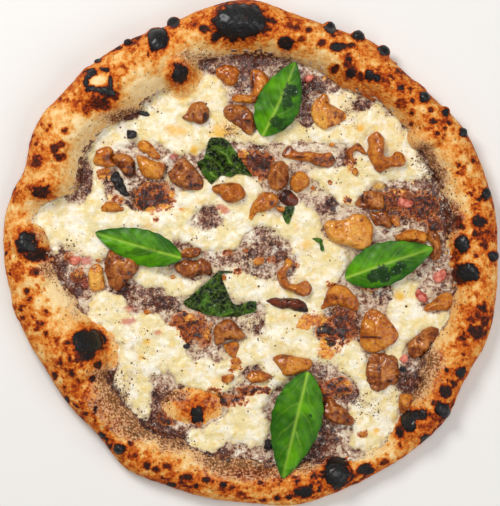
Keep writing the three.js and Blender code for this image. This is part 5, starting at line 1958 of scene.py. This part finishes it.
@dataclass(frozen=True)
class WiltedLeaf:
    """A leaf wilted in the oven, folded lengthwise inside its outline."""

    node: str
    outline: tuple
    turn: float
    seed: int
    fold: float = 7.5
    rise: float = 2.6
    spacing: float = 0.45
    thickness: float = 0.6
    pale: tuple = ()

    def build(self, material: bpy.types.Material, ground: Ground) -> Piece:
        """Makes the leaf, laid over what is under it.

        Args:
            material: its finish.
            ground: what lies under it.

        Returns:
            The piece.
        """
        curve = closed_curve(self.outline)
        (low_x, low_y), (high_x, high_y) = curve.min(axis=0), curve.max(axis=0)
        columns, rows = (int((high - low) / self.spacing)
                         for low, high in ((low_x, high_x), (low_y, high_y)))
        form = sheet_form(columns, rows, lambda x, y: inside_by(curve, x, y) > 0.0,
                          (low_x, high_x, low_y, high_y))
        piece = Piece(self.node + "_leaf", form)
        x, y = piece.raw()[:, :2].T
        inside = inside_by(curve, x, y)
        angle = math.radians(self.turn)
        across = (y * math.cos(angle) - x * math.sin(angle)) / self.fold
        warped = across + 0.55 * cloud(x, y, 14.0, self.seed, octaves=2)
        phase = np.abs(warped - np.rint(warped)) * 2.0
        crumple = cloud(x, y, 3.4, self.seed + 5, octaves=2)
        swell = smoothstep(0.0, 3.0, inside)
        lift = 0.5 + self.rise * (0.35 + 0.65 * (1.0 - phase) ** 1.2) * (0.45 + 0.55 * swell)
        under = np.array([ground.height(p, q) for p, q in zip(x, y)])
        top = np.maximum(0.5 * under + 0.5 * under.mean() + lift + 0.8 * crumple, under + 0.5)
        piece.lay(x, y, top, top - self.thickness)
        along = (x * math.cos(angle) + y * math.sin(angle)) / 4.2 + 0.8 * phase
        ribs = np.abs(along - np.rint(along))
        vein = (1.0 - smoothstep(0.03, 0.12, ribs)) * 0.5
        vein = np.maximum(vein, 1.0 - smoothstep(0.04, 0.14, phase))
        piece.paint("vein", np.clip(0.45 * vein * (0.5 + 0.9 * crumple), 0.0, 1.0))
        # Painted light and shade: lighter on the crests of the folds and on raised crumples, darker in
        # the hollows, more so near the rim.
        rim = 0.35 * (1.0 - smoothstep(0.0, 1.6, inside))
        shade = 0.08 + 0.30 * (1.0 - phase) + (rim + 0.22) * crumple + glow(x, y, self.pale)
        piece.paint("shade", np.clip(shade, 0.0, 1.0))
        piece.paint("wet", np.clip(0.7 * cloud(x, y, 6.0, self.seed + 17) + 0.2, 0.0, 1.0))
        piece.done(material, [self.node])
        return piece


@dataclass
class Scraps:
    """Scraps of ham and burnt herb, each over its own solid."""

    voxel: float = 0.5

    def build(self, stem: str, slot: str, material: bpy.types.Material, rough: float) -> None:
        """Makes every scrap of a kind.

        Args:
            stem: how their solids' names begin.
            slot: not used.
            material: their finish.
            rough: depth of their crumpling, in millimetres.
        """
        for seed, node in enumerate(sorted(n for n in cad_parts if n.startswith(stem))):
            piece = Piece(node + "_scrap", node_form(node, self.voxel, 2))
            points, normals = piece.points(), piece.normals()
            x, y, z = points.T
            up = smoothstep(-0.4, 0.2, normals[:, 2])
            push = rough * cloud(x, y, 3.2, 400 + seed, z) * up
            points = points + normals * push[:, None]
            points[:, 2] -= 0.9 * (1.0 - up)
            piece.move(points)
            piece.done(material, [node])


@dataclass
class Crumbs:
    """Loose shreds of truffle on the cream, the cheese and the rim's inner wall."""

    count: int = 7600
    seed: int = 17
    small: float = 0.22
    large: float = 0.75

    def places(self) -> Array:
        """Places drawn by how much truffle shows.

        Returns:
            Rows of x and y.
        """
        draw = np.random.default_rng(self.seed)
        tries = draw.uniform(-150.0, 150.0, (self.count * 14, 2))
        x, y = tries.T
        ring = np.exp(-((DOUGH.beyond(x, y) / 7.0) ** 2))
        gather = smoothstep(-0.2, 0.6, cloud(x, y, 5.0, 163))
        chance = np.clip(0.03 + 0.42 * glow(x, y, TRUFFLE) + 0.05 * ring, 0.0, 1.0) * gather
        chance *= DOUGH.at(x, y).share(np.hypot(x, y)) < 0.35
        kept = tries[draw.uniform(0.0, 1.0, len(tries)) < chance]
        return kept[: self.count]

    def build(self, material: bpy.types.Material, ground: Ground) -> Piece:
        """Makes all of them as one piece, an array of one small rock.

        Args:
            material: its finish.
            ground: what lies under it.

        Returns:
            The piece.
        """
        rock = bmesh.new()
        bmesh.ops.create_icosphere(rock, subdivisions=1, radius=1.0)
        corners = np.array([vert.co[:] for vert in rock.verts])
        faces = np.array([[vert.index for vert in face.verts] for face in rock.faces])
        rock.free()
        draw = np.random.default_rng(self.seed + 1)
        verts: list[Array] = []
        polygons: list[Array] = []
        for number, (x, y) in enumerate(self.places()):
            size = self.small + (self.large - self.small) * draw.uniform() ** 2.2
            stretch = size * draw.uniform(0.6, 1.3, 3) * (1.0, 1.0, 0.4)
            turn = draw.uniform(0.0, math.pi)
            jagged = corners * (1.0 + draw.uniform(-0.25, 0.25, (len(corners), 1))) * stretch
            spin = np.array(((math.cos(turn), math.sin(turn), 0.0),
                             (-math.sin(turn), math.cos(turn), 0.0), (0.0, 0.0, 1.0)))
            verts.append(jagged @ spin + (x, y, ground.height(x, y) + 0.02 * size))
            polygons.append(faces + number * len(corners))
        mesh = bpy.data.meshes.new("truffle shreds")
        mesh.from_pydata(np.concatenate(verts).tolist(), [], np.concatenate(polygons).tolist())
        form = bmesh.new()
        form.from_mesh(mesh)
        bpy.data.meshes.remove(mesh)
        bmesh.ops.scale(form, vec=(MM, MM, MM), verts=form.verts)
        piece = Piece("truffle_shreds", form)
        piece.done(material)
        return piece


# ---------------------------------------------------------------- the picture


@dataclass
class Studio:
    """Pale floor, soft lights and the camera straight above."""

    distance: float = 1.75
    frame_height: float = 326.0
    sensor: float = 36.0
    floor_colour: str = "e9e7e3"

    def floor(self) -> None:
        """Lays the floor."""
        form = bmesh.new()
        bmesh.ops.create_grid(form, x_segments=1, y_segments=1, size=3.0)
        bmesh.ops.translate(form, vec=(0.0, 0.0, -0.0004), verts=form.verts)
        mesh = bpy.data.meshes.new("floor")
        form.to_mesh(mesh)
        form.free()
        plane = bpy.data.objects.new("floor", mesh)
        bpy.context.scene.collection.objects.link(plane)
        graph = Graph("floor")
        graph.feed(graph.shader.inputs["Base Color"], colour(self.floor_colour))
        graph.feed(graph.shader.inputs["Roughness"], 0.9)
        mesh.materials.append(graph.material)

    def light(self, name: str, place: tuple, size: float, power: float) -> None:
        """Hangs a square soft light that faces the pizza.

        Args:
            name: the light's name.
            place: where it hangs, in metres.
            size: its side, in metres.
            power: its power, in watts.
        """
        lamp = bpy.data.lights.new(name, "AREA")
        lamp.size = size
        lamp.energy = power
        holder = bpy.data.objects.new(name, lamp)
        holder.location = place
        holder.rotation_euler = (-Vector(place)).to_track_quat("-Z", "Y").to_euler()
        bpy.context.scene.collection.objects.link(holder)

    def camera(self) -> None:
        """Hangs the camera."""
        lens = bpy.data.cameras.new("camera")
        lens.sensor_width = self.sensor
        lens.lens = self.sensor * self.distance / (self.frame_height * MM)
        holder = bpy.data.objects.new("camera", lens)
        holder.location = (0.0, 0.0, self.distance)
        bpy.context.scene.collection.objects.link(holder)
        bpy.context.scene.camera = holder

    def build(self) -> None:
        """Sets everything up."""
        self.floor()
        self.light("key", (-0.55, 0.75, 1.05), 0.5, 12.2)
        self.light("fill", (0.9, -0.5, 1.0), 1.1, 7.0)
        self.light("top", (0.15, 0.25, 1.9), 0.6, 5.4)
        world = bpy.data.worlds.new("studio")
        world.use_nodes = True
        world.node_tree.nodes["Background"].inputs["Color"].default_value = colour("f2f1ef")
        world.node_tree.nodes["Background"].inputs["Strength"].default_value = 0.36
        bpy.context.scene.world = world
        bpy.context.scene.view_settings.view_transform = "Standard"
        self.camera()


FRESH_LEAVES = (
    FreshLeaf("basil_01", (8, 75), (29, 122), 28, bow=-1.0, curl=0.8,
              wet=((26, 104, 3.6, 5, 1.0), (23.4, 97.5, 3.2, 4.6, 0.9), (17, 84, 4.6, 4, 0.9),
                   (20.5, 80, 3.6, 2.4, 0.8))),
    FreshLeaf("basil_02", (-44, -3), (-99, 13), 23, bow=0.5, curl=0.6,
              wet=((-70, 1, 10, 2.4, 0.5),)),
    FreshLeaf("basil_03", (61, -16), (117, 3), 28, bow=0.5, curl=0.7,
              wet=((79, -14.6, 4, 4, 1.0), (86, -13.4, 6, 5.4, 1.0), (93.4, -10.6, 4.6, 3.8, 1.0),
                   (98, -8, 2.6, 2, 0.8))),
    FreshLeaf("basil_04", (37, -76), (21, -144), 33, bow=0.0, curl=0.6,
              wet=((39, -104, 1.2, 1.2, 0.9),)),
)
WILTED_LEAVES = (
    WiltedLeaf("wilted_basil_01", (
        (-25.8, 73.6), (-20, 74.4), (-14.3, 72.3), (-7.7, 63.3), (-3, 56), (1.6, 49.3), (-7, 50.4),
        (-12, 48.6), (-18.4, 49.3), (-22, 46), (-25, 43.8), (-29, 48.4), (-32, 53), (-34.4, 58.3),
        (-30, 61), (-28.4, 66.5)), -38.0, 501, pale=((-28, 50, 5, 4, 0.5), (-12, 66, 5, 3, 0.4))),
    WiltedLeaf("wilted_basil_02", (
        (-43, -31.5), (-37, -26.4), (-31, -21), (-25, -16), (-22, -12.6), (-19.6, -11),
        (-11.5, -11.6), (-11.8, -12.8), (-17.4, -13.6), (-17, -18), (-15, -23), (-13, -28),
        (-11, -31.6), (-8, -33), (-4, -32), (0, -30.8), (4, -31), (4.6, -35), (3, -38),
        (-2, -39.4), (-7, -41), (-13, -41.4), (-20, -41), (-27, -40), (-34, -37.5), (-40, -35)),
        35.0, 511, pale=((-26, -31, 5, 6, 0.6), (-17, -38, 7, 2, 0.6), (-22, -36, 5, 3, 0.4),
                         (-3, -38, 6, 2, 0.4))),
    WiltedLeaf("wilted_basil_03", (
        (20.4, 26), (22, 29.6), (26, 30.8), (28.7, 30.2), (28, 26), (26.4, 22), (25, 18.4),
        (22.6, 19.4), (21.2, 22.4)), 60.0, 521, 4.5, 1.6),
)


def main() -> None:
    """Builds the pizza and its studio."""
    logging.basicConfig(level=logging.INFO, format="%(message)s")
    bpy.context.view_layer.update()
    ground = Ground()
    crust = Crust().build(CrustFinish().make())
    cover = CheeseCover()
    cream = Cream().build(ToppingFinish("truffle cream", 0.10).make(), cover)
    cheese = Cheese().build(ToppingFinish("melted mozzarella", 0.22).make(), cover)
    for piece in (crust, cream, cheese):
        ground.add(piece)
    finishes = Porcini().build()
    Bits().build("porcini_bits", BITS, "porcini_golden", finishes[Tone.GOLDEN], ground)
    fresh = BasilFinish("fresh basil", "205400", "60a400", "a2c640", 0.42).make()
    for leaf in FRESH_LEAVES:
        leaf.build(fresh)
    wilted = BasilFinish("wilted basil", "061202", "3c6c08", "86a43e", 0.28, "030802",
                         patchy=1.5, patch=2.8, depth=1.0, wrinkled=0.26).make()
    for leaf in WILTED_LEAVES:
        leaf.build(wilted, ground)
    Bits().build("herb_bits", GREEN_BITS, "wilted_basil", wilted, ground)
    ham = PlainFinish("cooked ham", "e88d74", "a83626", 4.0, 0.34, 0.5, 0.2)
    Scraps().build("ham_", "ham", ham.make(), 0.7)
    burnt = PlainFinish("burnt herb", "262020", "0c0a0a", 2.5, 0.42, 0.5, 0.1)
    char = burnt.make()
    Scraps().build("burnt_herb_", "burnt_herb", char, 1.0)
    Bits().build("burnt_bits", BURNT_BITS, "burnt_herb", char, ground)
    shreds = PlainFinish("truffle shreds", "8e4416", "340c00", 1.6, 0.6, 0.2)
    Crumbs().build(shreds.make(), ground)
    Studio().build()


if __name__ == "__main__":
    main()
